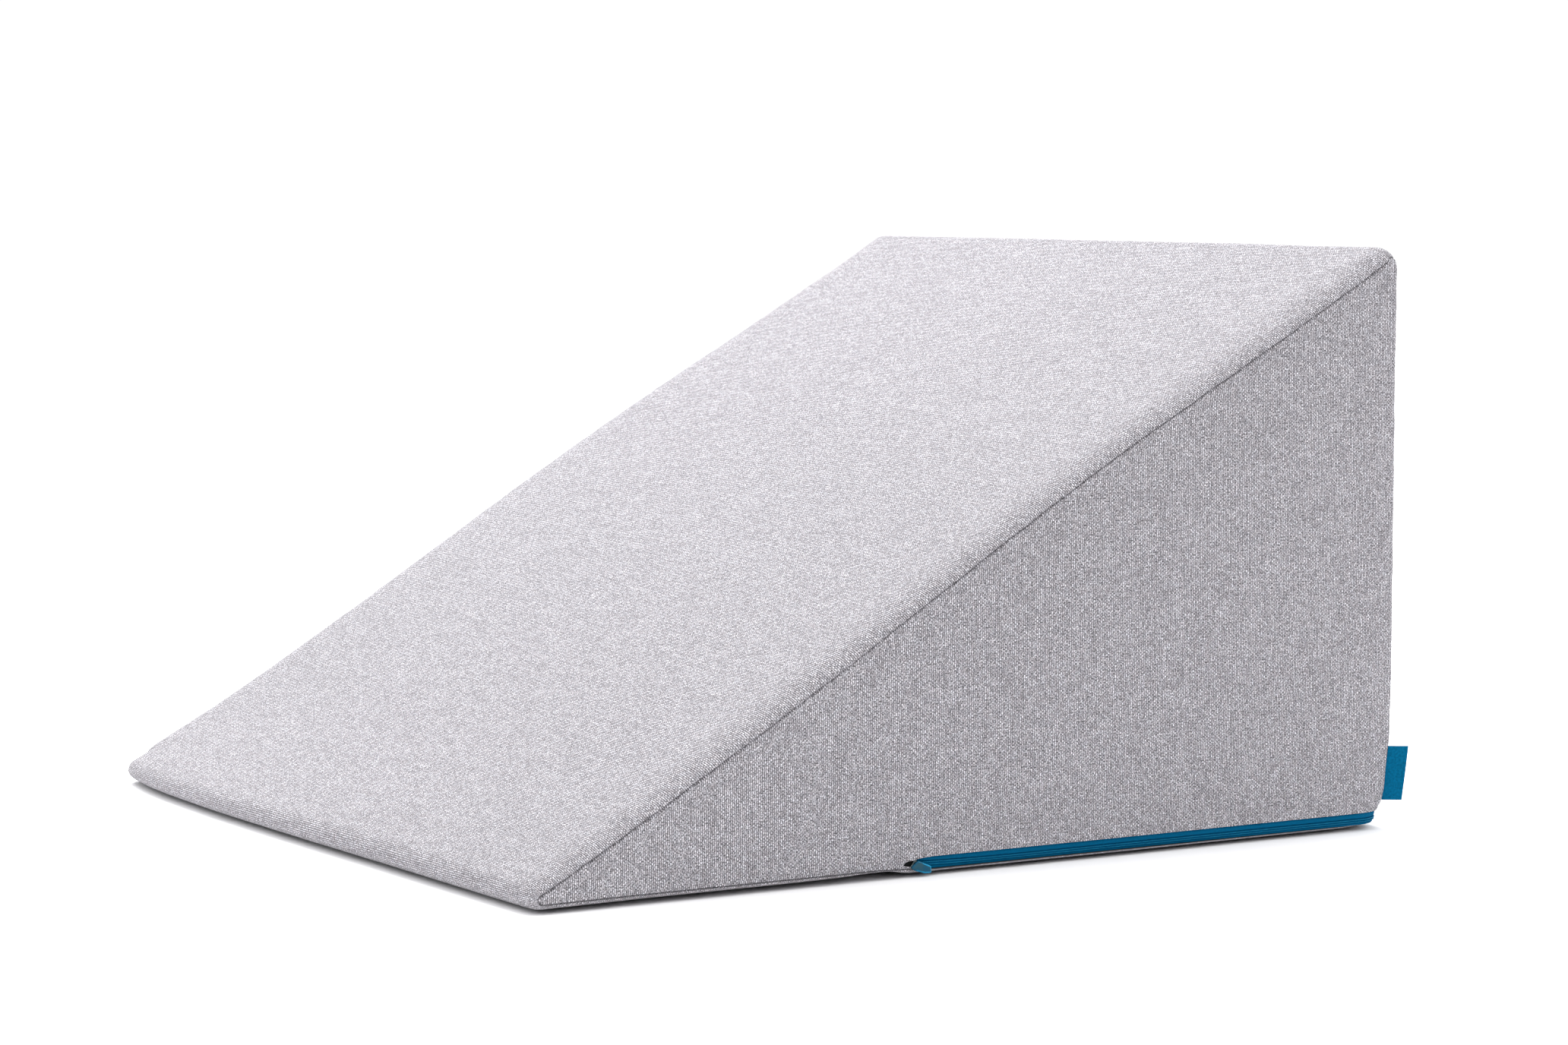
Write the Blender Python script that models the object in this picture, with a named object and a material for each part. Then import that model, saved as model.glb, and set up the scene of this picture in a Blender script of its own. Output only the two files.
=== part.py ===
"""Wedge pillow: a foam wedge in a sewn cover with a zip round one lower corner.

Metres, +Z up.  The pillow stands on z = 0 with the thin nose at -Y, the high
ridge and the back at +Y and its width along X.  The origin is in the middle of
the flat bottom.  One long cloth panel wraps bottom, nose, slope, ridge and back;
two wedge-shaped panels close the sides.
"""

import math

import bmesh
import bpy
import numpy as np

MM = 0.001

# Driving dimensions of the filled cover
HALF_WIDTH = 249.5 * MM
NOSE_Y = -249 * MM
BACK_Y = 250 * MM
HEIGHT = 300 * MM
NOSE_RADIUS = 6.5 * MM
RIDGE_RADIUS = 6 * MM
HEEL_RADIUS = 3 * MM

# Seams: two lips of cloth with the stitched valley between them
SEAM_GAP = 1.4 * MM
SEAM_DEPTH = 1.4 * MM
LIP_SINK = 0.2 * MM

# Clearance kept between neighbouring solids
CLEARANCE = 0.3 * MM

# Fullness of the faces
SIDE_CROWN = 2 * MM
BACK_CROWN = 3 * MM

# The nose edge bows forward, most left of its middle.
# Columns: place across from -1 at the left to 1 at the right, bow
NOSE_BOW = (
    (-1.0, 2.0 * MM),
    (-0.8, 6.0 * MM),
    (-0.5, 8.0 * MM),
    (-0.1, 6.5 * MM),
    (0.4, 3.0 * MM),
    (0.8, 0.8 * MM),
    (1.0, 0.0 * MM),
)
NOSE_BOW_REACH = 80 * MM
NOSE_CORNER_RADIUS = (20 * MM, 4 * MM)

# The lower edge lifts a little off the floor in front of the zip
LIFT_HEIGHT = 1.6 * MM
LIFT_FROM_Y = -125 * MM
LIFT_TO_Y = -48 * MM
LIFT_WIDTH = 14 * MM
LIFT_TOP = 14 * MM

# Stretches of the outline in the YZ plane, in the order in which the panel wraps
BOTTOM, NOSE, SLOPE, RIDGE, BACK, HEEL, END = range(7)

# How far the long panel rolls over towards the side seam.  Up the back the seam
# lies round the corner, on the back itself.
# Columns: stretch, share of it, width of the roll, depth of the roll, share round the corner
ROLL = (
    (BOTTOM, 0.0, 6.0 * MM, 1.4 * MM, 0.0),
    (BOTTOM, 0.05, 9.0 * MM, 4.3 * MM, 0.0),
    (BOTTOM, 0.9, 9.0 * MM, 4.3 * MM, 0.0),
    (NOSE, 0.0, 9.0 * MM, 3.8 * MM, 0.0),
    (NOSE, 1.0, 12.0 * MM, 4.4 * MM, 0.0),
    (SLOPE, 0.06, 15.0 * MM, 5.0 * MM, 0.0),
    (SLOPE, 0.16, 19.0 * MM, 5.4 * MM, 0.0),
    (SLOPE, 0.32, 20.0 * MM, 6.2 * MM, 0.0),
    (SLOPE, 0.94, 20.0 * MM, 6.6 * MM, 0.0),
    (SLOPE, 1.0, 13.0 * MM, 4.4 * MM, 0.0),
    (RIDGE, 0.5, 11.0 * MM, 4.2 * MM, 0.0),
    (RIDGE, 1.0, 8.0 * MM, 3.0 * MM, 0.5),
    (BACK, 0.03, 6.0 * MM, 1.1 * MM, 1.0),
    (BACK, 0.92, 6.0 * MM, 1.1 * MM, 1.0),
    (BACK, 0.98, 6.0 * MM, 1.1 * MM, 0.0),
    (HEEL, 1.0, 6.0 * MM, 1.4 * MM, 0.0),
)
# Where the seam lies on the back: distance in from the corner
BACK_SEAM_INSET = 1.6 * MM
# Past this place the side seam runs out, so that the two valleys don't cross
HEEL_SEAM_PLACE = BACK + 0.985

# Crown of the slope, square to its plane.
# Columns: share of the slope from nose to ridge, left edge, middle, right edge
SLOPE_CROWN = (
    (0.00, 0.0 * MM, 0.0 * MM, 0.0 * MM),
    (0.12, -1.4 * MM, 0.0 * MM, 0.2 * MM),
    (0.28, -0.4 * MM, 1.4 * MM, 1.2 * MM),
    (0.46, 2.2 * MM, 3.6 * MM, 3.4 * MM),
    (0.64, 3.0 * MM, 4.8 * MM, 4.9 * MM),
    (0.84, 0.6 * MM, 2.4 * MM, 1.9 * MM),
    (1.00, -0.8 * MM, 0.0 * MM, 0.0 * MM),
)

# The upright back corners are drawn in towards the floor.
# Columns: height, corner radius on the zip side, corner radius on the plain side
CORNER_DRAW = (
    (0 * MM, 23.0 * MM, 10.0 * MM),
    (10 * MM, 23.0 * MM, 10.0 * MM),
    (14 * MM, 12.5 * MM, 8.0 * MM),
    (21 * MM, 9.0 * MM, 6.0 * MM),
    (49 * MM, 3.2 * MM, 3.0 * MM),
    (80 * MM, 1.4 * MM, 1.4 * MM),
    (300 * MM, 1.0 * MM, 1.0 * MM),
)
ZIP_CORNER_RADIUS = CORNER_DRAW[0][1]

# Where the columns of faces lie on the flat bottom and up the back
BOTTOM_NEAR_BACK = (6 * MM, 12 * MM, 18 * MM, 25 * MM, 40 * MM)
BOTTOM_EVEN_COLUMNS = 11
BACK_HEIGHTS = (7.5, 10.5, 13.5, 17, 22, 30, 42, 60, 85, 115, 150, 185, 220, 250, 275)
SLOPE_COLUMNS = 24
NOSE_COLUMNS = 7
RIDGE_COLUMNS = 5
HEEL_COLUMNS = 3

# Rows of faces across the width
MIDDLE_ROWS = 9
EDGE_ROWS = (26 * MM, 21 * MM)
ROLL_ROWS = (0, 18, 36, 52, 66, 79, 90)
# Rows between the seam's outer lip and the flat of the side panel.
# Columns: reach into the panel, and where the seam is on the back, inset and drop at the corner
CORNER_ROWS = (
    (1.0 * MM, 0.4 * MM, 0.4 * MM),
    (3.2 * MM, 0.0 * MM, 2.2 * MM),
)
PANEL_SHARES = (0.05, 0.14, 0.29, 0.5, 0.74)
PANEL_CENTRE = (142 * MM, 107 * MM)
SPOKE_STEP = math.radians(0.04)

# Zip: it starts on the right side and turns the back corner to run along the back
ZIP_START_Y = -40.5 * MM
ZIP_END_X = -205 * MM
ZIP_TOP = 9.5 * MM
ZIP_BOTTOM = 2.9 * MM
ZIP_SLANT = 0.18
ZIP_SIDE_STEP = 16 * MM
ZIP_BACK_STEP = 20 * MM
ZIP_CORNER_STEPS = 9

# Opening in the seam for the zip, wide and deep where the slider sits.
# Columns: distance before (-) or after the start of the tape, top, bottom, depth
ZIP_MOUTH = (
    (-13.5 * MM, 6.4 * MM, 5.4 * MM, 0.8 * MM),
    (-10.0 * MM, 8.3 * MM, 5.0 * MM, 5.0 * MM),
    (-6.0 * MM, 9.4 * MM, 4.6 * MM, 7.5 * MM),
    (-2.0 * MM, 9.6 * MM, 3.9 * MM, 7.5 * MM),
    (-0.5 * MM, 9.6 * MM, 3.1 * MM, 6.0 * MM),
    (3.0 * MM, 9.5 * MM, 2.9 * MM, 4.5 * MM),
    (8.0 * MM, 9.5 * MM, 2.9 * MM, 3.4 * MM),
)
ZIP_CHANNEL_DEPTH = 3.4 * MM
CUTTER_OVERHANG = 4 * MM

# Section of the tape and of the chain.
# Columns: height over the floor, how far it lies behind the side panel's face
TAPE_SECTION = (
    (9.2 * MM, 0.7 * MM),
    (6.4 * MM, 0.7 * MM),
    (6.3 * MM, 1.5 * MM),
    (3.2 * MM, 1.5 * MM),
    (3.2 * MM, 2.0 * MM),
    (9.2 * MM, 2.0 * MM),
)
CHAIN_SECTION = (
    (6.0 * MM, 0.9 * MM),
    (5.8 * MM, 0.45 * MM),
    (5.3 * MM, 0.35 * MM),
    (4.75 * MM, 0.7 * MM),
    (4.2 * MM, 0.35 * MM),
    (3.7 * MM, 0.45 * MM),
    (3.5 * MM, 0.9 * MM),
    (3.5 * MM, 1.2 * MM),
    (6.0 * MM, 1.2 * MM),
)

# Slider, in the mouth of the zip, and the pull tab that hangs from it
SLIDER_LENGTH = 7.6 * MM
SLIDER_HEIGHT = 3.4 * MM
SLIDER_THICKNESS = 2.4 * MM
SLIDER_MIDDLE_Z = 7.0 * MM
SLIDER_DEPTH = 3.4 * MM
SLIDER_BEVEL = 0.6 * MM
# Height of the leading end as a share of the whole, and where the taper ends
SLIDER_TAPER = 0.6
SLIDER_SHOULDER = 0.35
PULL_THICKNESS = 1.2 * MM
PULL_ROOT_Y = -44.0 * MM
PULL_ROOT_Z = 7.1 * MM
PULL_TILT = math.radians(-19)
PULL_PROUD = 0.5 * MM
PULL_BEVEL = 0.3 * MM
# Columns: distance along the tab from its root, half width there
PULL_SHAPE = (
    (0.0 * MM, 1.55 * MM),
    (6.2 * MM, 2.6 * MM),
    (10.1 * MM, 1.9 * MM),
    (11.2 * MM, 0.9 * MM),
)

# Folded label in the upright seam at the back
LABEL_BOTTOM = 14.8 * MM
LABEL_TOP = 42.9 * MM
LABEL_REACH = 11.6 * MM
LABEL_LAYER = 0.5 * MM
LABEL_GAP = 0.5 * MM
LABEL_TURN = math.radians(10)
LABEL_ROOT_GAP = 0.9 * MM
LABEL_ROWS = 4
LABEL_CURL = 0.8 * MM

# Colours, linear
CLOTH_GREY = (0.42, 0.41, 0.44)
ZIP_TEAL = (0.005, 0.10, 0.22)
PULL_TEAL = (0.02, 0.16, 0.30)
SLIDER_DARK = (0.01, 0.02, 0.03)
LABEL_TEAL = (0.006, 0.14, 0.29)


def remove_objects():
    for item in list(bpy.data.objects):
        bpy.data.objects.remove(item, do_unlink=True)


def finish(name, colour, roughness, metallic=0.0):
    material = bpy.data.materials.new(name)
    material.use_nodes = True
    shader = material.node_tree.nodes["Principled BSDF"]
    shader.inputs["Base Color"].default_value = (*colour, 1.0)
    shader.inputs["Roughness"].default_value = roughness
    shader.inputs["Metallic"].default_value = metallic
    return material


def add_object(name, points, faces, material):
    """One closed mesh with its faces pointing out."""
    shape = bmesh.new()
    corners = [shape.verts.new(point) for point in points]
    for face in faces:
        shape.faces.new([corners[index] for index in face])
    bmesh.ops.recalc_face_normals(shape, faces=shape.faces)
    mesh = bpy.data.meshes.new(name)
    shape.to_mesh(mesh)
    shape.free()
    mesh.shade_smooth()
    mesh.set_sharp_from_angle(angle=math.radians(50))
    mesh.materials.append(material)
    item = bpy.data.objects.new(name, mesh)
    bpy.context.scene.collection.objects.link(item)
    return item


def tube_faces(row_count, column_count):
    """Faces of a stack of closed rows, without the two ends."""
    faces = []
    for row in range(row_count - 1):
        for column in range(column_count):
            following = (column + 1) % column_count
            lower = row * column_count
            upper = lower + column_count
            faces.append((lower + column, lower + following, upper + following, upper + column))
    return faces


def arc(centre, radius, start, stop, count):
    """Points and outward directions on an arc in the YZ plane, both ends included."""
    rows = []
    for step in range(count):
        angle = start + (stop - start) * step / (count - 1)
        outward = (math.cos(angle), math.sin(angle))
        rows.append((centre[0] + radius * outward[0], centre[1] + radius * outward[1], *outward))
    return rows


def outline():
    """Columns of the wrapping panel: y, z, outward y, outward z, place on the outline, sink.

    The outline is a belt round three circles, at the nose, the ridge and the heel.
    The place is the number of the stretch plus the share of it that lies behind.
    The sink is how far the sewn seam between the back and the bottom is drawn in.
    """
    nose = (NOSE_Y + NOSE_RADIUS, NOSE_RADIUS)
    ridge = (BACK_Y - RIDGE_RADIUS, HEIGHT - RIDGE_RADIUS)
    heel = (BACK_Y - HEEL_RADIUS, HEEL_RADIUS)
    rise = math.atan2(ridge[1] - nose[1], ridge[0] - nose[0])
    span = math.hypot(ridge[1] - nose[1], ridge[0] - nose[0])
    slope = rise - math.asin((NOSE_RADIUS - RIDGE_RADIUS) / span)
    slope_out = slope + math.pi / 2
    columns = []

    def add(rows, stretch, first, last):
        for index, row in enumerate(rows):
            share = first + (last - first) * index / max(len(rows) - 1, 1)
            columns.append((*row, stretch + share, 0.0))

    floor_run = heel[0] - nose[0]
    floor_places = [0.0, *BOTTOM_NEAR_BACK]
    even_from = BOTTOM_NEAR_BACK[-1]
    for step in range(1, BOTTOM_EVEN_COLUMNS):
        floor_places.append(even_from + (floor_run - even_from) * step / BOTTOM_EVEN_COLUMNS)
    for place in floor_places:
        columns.append((heel[0] - place, 0.0, 0.0, -1.0, BOTTOM + place / floor_run, 0.0))

    nose_rows = arc(nose, NOSE_RADIUS, math.radians(270), slope_out, NOSE_COLUMNS)
    add(nose_rows, NOSE, 0.0, 1.0)

    for step in range(1, SLOPE_COLUMNS):
        share = step / SLOPE_COLUMNS
        low = (nose[0] + NOSE_RADIUS * math.cos(slope_out), nose[1] + NOSE_RADIUS * math.sin(slope_out))
        high = (ridge[0] + RIDGE_RADIUS * math.cos(slope_out), ridge[1] + RIDGE_RADIUS * math.sin(slope_out))
        y = low[0] + (high[0] - low[0]) * share
        z = low[1] + (high[1] - low[1]) * share
        columns.append((y, z, math.cos(slope_out), math.sin(slope_out), SLOPE + share, 0.0))

    ridge_rows = arc(ridge, RIDGE_RADIUS, slope_out, 0.0, RIDGE_COLUMNS)
    add(ridge_rows, RIDGE, 0.0, 1.0)

    back_run = ridge[1] - heel[1]
    for height in reversed(BACK_HEIGHTS):
        z = height * MM
        columns.append((BACK_Y, z, 1.0, 0.0, BACK + (ridge[1] - z) / back_run, 0.0))

    # The seam between the back and the bottom: lip, valley, lip
    lower_lip = HEEL_RADIUS
    valley = HEEL_RADIUS + SEAM_GAP / 2
    upper_lip = HEEL_RADIUS + SEAM_GAP
    for z, sink in ((upper_lip, LIP_SINK), (valley, SEAM_DEPTH), (lower_lip, LIP_SINK)):
        columns.append((BACK_Y, z, 1.0, 0.0, BACK + 1.0 - MM, sink))

    heel_rows = arc(heel, HEEL_RADIUS, 0.0, math.radians(-90), HEEL_COLUMNS + 2)
    add(heel_rows[1:-1], HEEL, 0.3, 0.9)
    return columns


def read_table(table, place, column):
    """Value of one column of a table whose first column rises."""
    return float(np.interp(place, [row[0] for row in table], [row[column] for row in table]))


def read_smoothly(table, place, column):
    """The same on a curve through the rows, with no corner at a row."""
    keys = np.array([row[0] for row in table])
    values = np.array([row[column] for row in table])
    slopes = np.gradient(values, keys)
    index = int(np.clip(np.searchsorted(keys, place) - 1, 0, len(keys) - 2))
    span = keys[index + 1] - keys[index]
    share = min(max((place - keys[index]) / span, 0.0), 1.0)
    back = 1 - share
    return float(
        values[index] * (1 + 2 * share) * back * back
        + slopes[index] * span * share * back * back
        + values[index + 1] * (3 - 2 * share) * share * share
        - slopes[index + 1] * span * back * share * share
    )


def roll_size(place):
    """Width and depth of the roll and the seam's turn to the back, at a place on the outline."""
    table = [(stretch + share, *sizes) for stretch, share, *sizes in ROLL]
    table.append((END, *table[0][1:]))
    return [read_table(table, place, column) for column in (1, 2, 3)]


def crown(place, across):
    """How far a face of the wrap stands out, across from -1 at the left to 1 at the right."""
    if SLOPE <= place <= SLOPE + 1:
        share = place - SLOPE
        left, middle, right = (read_smoothly(SLOPE_CROWN, share, column) for column in (1, 2, 3))
        bend = (left + right) / 2 - middle
        return middle + (right - left) / 2 * across + bend * across * across
    if BACK <= place <= BACK + 1:
        share = place - BACK
        return BACK_CROWN * math.sin(math.pi * share) * (1 - across * across)
    return 0.0


def nose_bow(y, across):
    """How far the nose edge bows forward at a place across."""
    near = max(0.0, 1 - (y - NOSE_Y) / NOSE_BOW_REACH)
    return read_smoothly(NOSE_BOW, across, 1) * near * near


def wave(share):
    """Smooth hump, 0 at shares 0 and 1 and 1 half way."""
    if share <= 0 or share >= 1:
        return 0.0
    return math.sin(math.pi * share) ** 2


def lift(x, y, z):
    """Height by which the right lower edge stands off the floor in front of the zip."""
    along = wave((y - LIFT_FROM_Y) / (LIFT_TO_Y - LIFT_FROM_Y))
    inner = min(max((x - HALF_WIDTH + LIFT_WIDTH) / LIFT_WIDTH, 0.0), 1.0)
    low = max(0.0, 1 - z / LIFT_TOP)
    return LIFT_HEIGHT * along * inner * inner * low


def round_corner(across, along, radius):
    """Distances in from two edges, moved onto a corner with that radius."""
    beyond_across = radius - across
    beyond_along = radius - along
    if beyond_across <= 0 or beyond_along <= 0:
        return across, along
    shrink = max(beyond_across, beyond_along) / math.hypot(beyond_across, beyond_along)
    return radius - beyond_across * shrink, radius - beyond_along * shrink


def draw_in_corner(x, y, z):
    """Round the upright corners in plan, at the back more towards the floor."""
    if y > 0:
        radius = read_table(CORNER_DRAW, z, 1 if x > 0 else 2)
        across, along = round_corner(HALF_WIDTH - abs(x), BACK_Y - y, radius)
        return math.copysign(HALF_WIDTH - across, x), BACK_Y - along
    radius = NOSE_CORNER_RADIUS[1 if x > 0 else 0]
    across, along = round_corner(HALF_WIDTH - abs(x), y - NOSE_Y, radius)
    return math.copysign(HALF_WIDTH - across, x), NOSE_Y + along


def side_bulge(y, z):
    """Fullness of a side panel, 0 along its three edges and 1 in its middle."""
    rise = HEIGHT / (BACK_Y - NOSE_Y)
    from_floor = max(z, 0.0) / HEIGHT
    from_back = max(BACK_Y - y, 0.0) / (BACK_Y - NOSE_Y)
    from_slope = max((y - NOSE_Y) * rise - z, 0.0) / HEIGHT
    return math.sqrt(min(27 * from_floor * from_back * from_slope, 1.0))


def towards_centre(y, z, distance):
    """A point moved that far towards the middle of the side panel."""
    away = math.hypot(PANEL_CENTRE[0] - y, PANEL_CENTRE[1] - z)
    return y + (PANEL_CENTRE[0] - y) * distance / away, z + (PANEL_CENTRE[1] - z) * distance / away


def in_turn(row):
    """Angle and length from the panel's middle to each point, each angle past the last."""
    spokes = []
    for x, y, z in row:
        away_y = y - PANEL_CENTRE[0]
        away_z = z - PANEL_CENTRE[1]
        angle = math.atan2(away_z, away_y)
        if spokes:
            last = spokes[-1][0]
            while angle > last + math.pi:
                angle -= 2 * math.pi
            while angle < last - math.pi:
                angle += 2 * math.pi
            angle = min(angle, last - SPOKE_STEP)
        spokes.append((angle, math.hypot(away_y, away_z)))
    return spokes


def side_rows(columns, hand):
    """Rows of points from the edge of the wrap over the side seam to the side's middle."""
    rows = []
    for distance in EDGE_ROWS:
        row = []
        for y, z, out_y, out_z, place, seam_sink in columns:
            across = 1 - distance / HALF_WIDTH
            raised = crown(place, across * hand) - seam_sink
            row.append([across * HALF_WIDTH, y + out_y * raised - nose_bow(y, across * hand), z + out_z * raised])
        rows.append(row)

    def corner_row(angle, further, sink):
        """One row of the roll, or beyond its end by a distance along the side."""
        row = []
        for y, z, out_y, out_z, place, seam_sink in columns:
            width, depth, turn = roll_size(place)
            raised = crown(place, hand) - seam_sink * math.cos(angle)
            if place > HEEL_SEAM_PLACE:
                sink = min(sink, LIP_SINK)
            side_in = width * (1 - math.sin(angle)) + sink
            side_down = depth * (1 - math.cos(angle)) + further
            back_in = BACK_SEAM_INSET + SEAM_GAP - further + width * (1 - math.sin(angle))
            back_down = sink
            inset = side_in + (back_in - side_in) * turn
            raised -= side_down + (back_down - side_down) * turn
            bow = nose_bow(y, hand)
            row.append([HALF_WIDTH - inset, y + out_y * raised - bow, z + out_z * raised])
        return row

    for degrees in ROLL_ROWS:
        rows.append(corner_row(math.radians(degrees), 0.0, 0.0))
    quarter = math.pi / 2
    rows.append(corner_row(quarter, SEAM_GAP * 0.2, LIP_SINK))
    rows.append(corner_row(quarter, SEAM_GAP * 0.5, SEAM_DEPTH))
    lip = corner_row(quarter, SEAM_GAP, LIP_SINK)
    rows.append(lip)

    for reach, corner_inset, corner_down in CORNER_ROWS:
        row = []
        for (x, y, z), (back_y, back_z, out_y, out_z, place, _) in zip(lip, columns):
            turn = roll_size(place)[2]
            flat_y, flat_z = towards_centre(y, z, reach)
            raised = crown(place, hand) - corner_down
            corner = (HALF_WIDTH - corner_inset, back_y + out_y * raised, back_z + out_z * raised)
            flat = (HALF_WIDTH, flat_y, flat_z)
            row.append([near + (far - near) * turn for near, far in zip(flat, corner)])
        rows.append(row)

    edge = rows.pop()
    for share in (0.0, *PANEL_SHARES):
        row = []
        for (x, _, _), (angle, length) in zip(edge, in_turn(edge)):
            inner_y = PANEL_CENTRE[0] + math.cos(angle) * length * (1 - share)
            inner_z = PANEL_CENTRE[1] + math.sin(angle) * length * (1 - share)
            full = HALF_WIDTH + SIDE_CROWN * side_bulge(inner_y, inner_z)
            row.append([full if share else x, inner_y, inner_z])
        rows.append(row)
    return [[(hand * x, y, z) for x, y, z in row] for row in rows]


def settle(point):
    """Small pulls of the sewn cover: drawn-in back corners and the lifted lower edge."""
    x, y, z = point
    x, y = draw_in_corner(x, y, z)
    return x, y, z + lift(x, y, z)


def make_cushion(material):
    """The filled cover as one crowned solid with its seams drawn in."""
    columns = outline()
    left = side_rows(columns, -1)
    right = side_rows(columns, 1)
    rows = list(reversed(left))
    inner = 1 - EDGE_ROWS[0] / HALF_WIDTH
    for step in range(1, MIDDLE_ROWS + 1):
        across = inner * (2 * step / (MIDDLE_ROWS + 1) - 1)
        row = []
        for y, z, out_y, out_z, place, seam_sink in columns:
            raised = crown(place, across) - seam_sink
            row.append((across * HALF_WIDTH, y + out_y * raised - nose_bow(y, across), z + out_z * raised))
        rows.append(row)
    rows.extend(right)

    points = [settle(point) for row in rows for point in row]
    faces = tube_faces(len(rows), len(columns))
    bulge = HALF_WIDTH + SIDE_CROWN * side_bulge(*PANEL_CENTRE)
    for hand, first in ((-1, 0), (1, (len(rows) - 1) * len(columns))):
        points.append((hand * bulge, *PANEL_CENTRE))
        middle = len(points) - 1
        for column in range(len(columns)):
            faces.append((first + column, first + (column + 1) % len(columns), middle))
    cushion = add_object("cushion", points, faces, material)
    cut_zip_opening(cushion)
    return cushion


def zip_path(start_y=ZIP_START_Y, end_x=ZIP_END_X):
    """Stations along the zip in plan: x, y, outward x, outward y."""
    radius = ZIP_CORNER_RADIUS
    side_end = BACK_Y - radius
    side_steps = round((side_end - start_y) / ZIP_SIDE_STEP)
    stations = []
    for step in range(side_steps):
        stations.append((HALF_WIDTH, start_y + (side_end - start_y) * step / side_steps, 1.0, 0.0))
    for step in range(ZIP_CORNER_STEPS + 1):
        angle = math.pi / 2 * step / ZIP_CORNER_STEPS
        out_x = math.cos(angle)
        out_y = math.sin(angle)
        x = HALF_WIDTH - radius + radius * out_x
        y = BACK_Y - radius + radius * out_y
        stations.append((x, y, out_x, out_y))
    back_start = HALF_WIDTH - radius
    back_steps = round((back_start - end_x) / ZIP_BACK_STEP)
    for step in range(1, back_steps + 1):
        stations.append((back_start + (end_x - back_start) * step / back_steps, BACK_Y, 0.0, 1.0))
    return stations


def sweep(name, stations, sections, material):
    """Solid with a closed section of (height, depth) at each station."""
    points = []
    for (x, y, out_x, out_y), section in zip(stations, sections):
        for height, depth in section:
            points.append((x - out_x * depth, y - out_y * depth, height))
    count = len(sections[0])
    faces = tube_faces(len(stations), count)
    faces.append(tuple(range(count)))
    faces.append(tuple(range(len(points) - count, len(points))))
    return add_object(name, points, faces, material)


def slanted(section):
    """The zip leans back towards the floor."""
    return [(height, depth + (ZIP_TOP - height) * ZIP_SLANT) for height, depth in section]


def channel_section(top, bottom, depth):
    outside = -CUTTER_OVERHANG
    return [(top, outside), (bottom, outside), (bottom, depth + (ZIP_TOP - bottom) * ZIP_SLANT), (top, depth)]


def cut_zip_opening(cushion):
    """Open the seam for the zip, with a deeper mouth at the slider."""
    after_mouth = ZIP_START_Y + ZIP_MOUTH[-1][0]
    stations = []
    sections = []
    for distance, top, bottom, depth in ZIP_MOUTH[:-1]:
        stations.append((HALF_WIDTH, ZIP_START_Y + distance, 1.0, 0.0))
        sections.append(channel_section(top, bottom, depth))
    run = zip_path(after_mouth, ZIP_END_X - 2 * CLEARANCE)
    stations.extend(run)
    plain = channel_section(ZIP_TOP, ZIP_BOTTOM, ZIP_CHANNEL_DEPTH - CLEARANCE)
    sections.extend([plain] * len(run))
    cutter = sweep("zip_opening_cutter", stations, sections, cushion.data.materials[0])
    cutter.hide_render = True
    cutter.display_type = "WIRE"
    opening = cushion.modifiers.new("zip opening", "BOOLEAN")
    opening.operation = "DIFFERENCE"
    opening.solver = "EXACT"
    opening.object = cutter


def make_zip(material):
    """Woven tape with the covered chain of teeth on its lower half."""
    stations = zip_path()
    for name, section in (("zip_tape", TAPE_SECTION), ("zip_chain", CHAIN_SECTION)):
        sweep(name, stations, [slanted(section)] * len(stations), material)


def prism(outline_points, low, high):
    """Points and faces of an outline of (y, z) pairs, from x = low to x = high."""
    count = len(outline_points)
    points = [(low, y, z) for y, z in outline_points]
    points += [(high, y, z) for y, z in outline_points]
    faces = tube_faces(2, count)
    faces.append(tuple(range(count)))
    faces.append(tuple(range(count, 2 * count)))
    return points, faces


def bevel_edges(item, width, segments):
    edge = item.modifiers.new("rounded edges", "BEVEL")
    edge.width = width
    edge.segments = segments
    edge.limit_method = "ANGLE"
    edge.angle_limit = math.radians(30)


def make_slider(material):
    """Slider body, which tapers to its leading end."""
    end_y = ZIP_START_Y - CLEARANCE
    start_y = end_y - SLIDER_LENGTH
    half = SLIDER_HEIGHT / 2
    nose_half = half * SLIDER_TAPER
    shoulder = start_y + SLIDER_LENGTH * SLIDER_SHOULDER
    body = (
        (start_y, SLIDER_MIDDLE_Z - nose_half),
        (shoulder, SLIDER_MIDDLE_Z - half),
        (end_y, SLIDER_MIDDLE_Z - half),
        (end_y, SLIDER_MIDDLE_Z + half),
        (shoulder, SLIDER_MIDDLE_Z + half),
        (start_y, SLIDER_MIDDLE_Z + nose_half),
    )
    front = HALF_WIDTH - SLIDER_DEPTH + SLIDER_THICKNESS
    points, faces = prism(body, HALF_WIDTH - SLIDER_DEPTH, front)
    slider = add_object("zip_slider", points, faces, material)
    bevel_edges(slider, SLIDER_BEVEL, 2)
    return slider


def make_pull(material):
    """Flat flared tab with cut corners, lying slanted over the lower lip of the zip."""
    tab = [(along, -half) for along, half in PULL_SHAPE]
    tab += [(along, half) for along, half in reversed(PULL_SHAPE)]
    turned = []
    for along, across in tab:
        y = PULL_ROOT_Y + along * math.cos(PULL_TILT) - across * math.sin(PULL_TILT)
        z = PULL_ROOT_Z + along * math.sin(PULL_TILT) + across * math.cos(PULL_TILT)
        turned.append((y, z))
    points, faces = prism(turned, HALF_WIDTH + PULL_PROUD, HALF_WIDTH + PULL_PROUD + PULL_THICKNESS)
    pull = add_object("zip_pull", points, faces, material)
    bevel_edges(pull, PULL_BEVEL, 2)
    return pull


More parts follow.
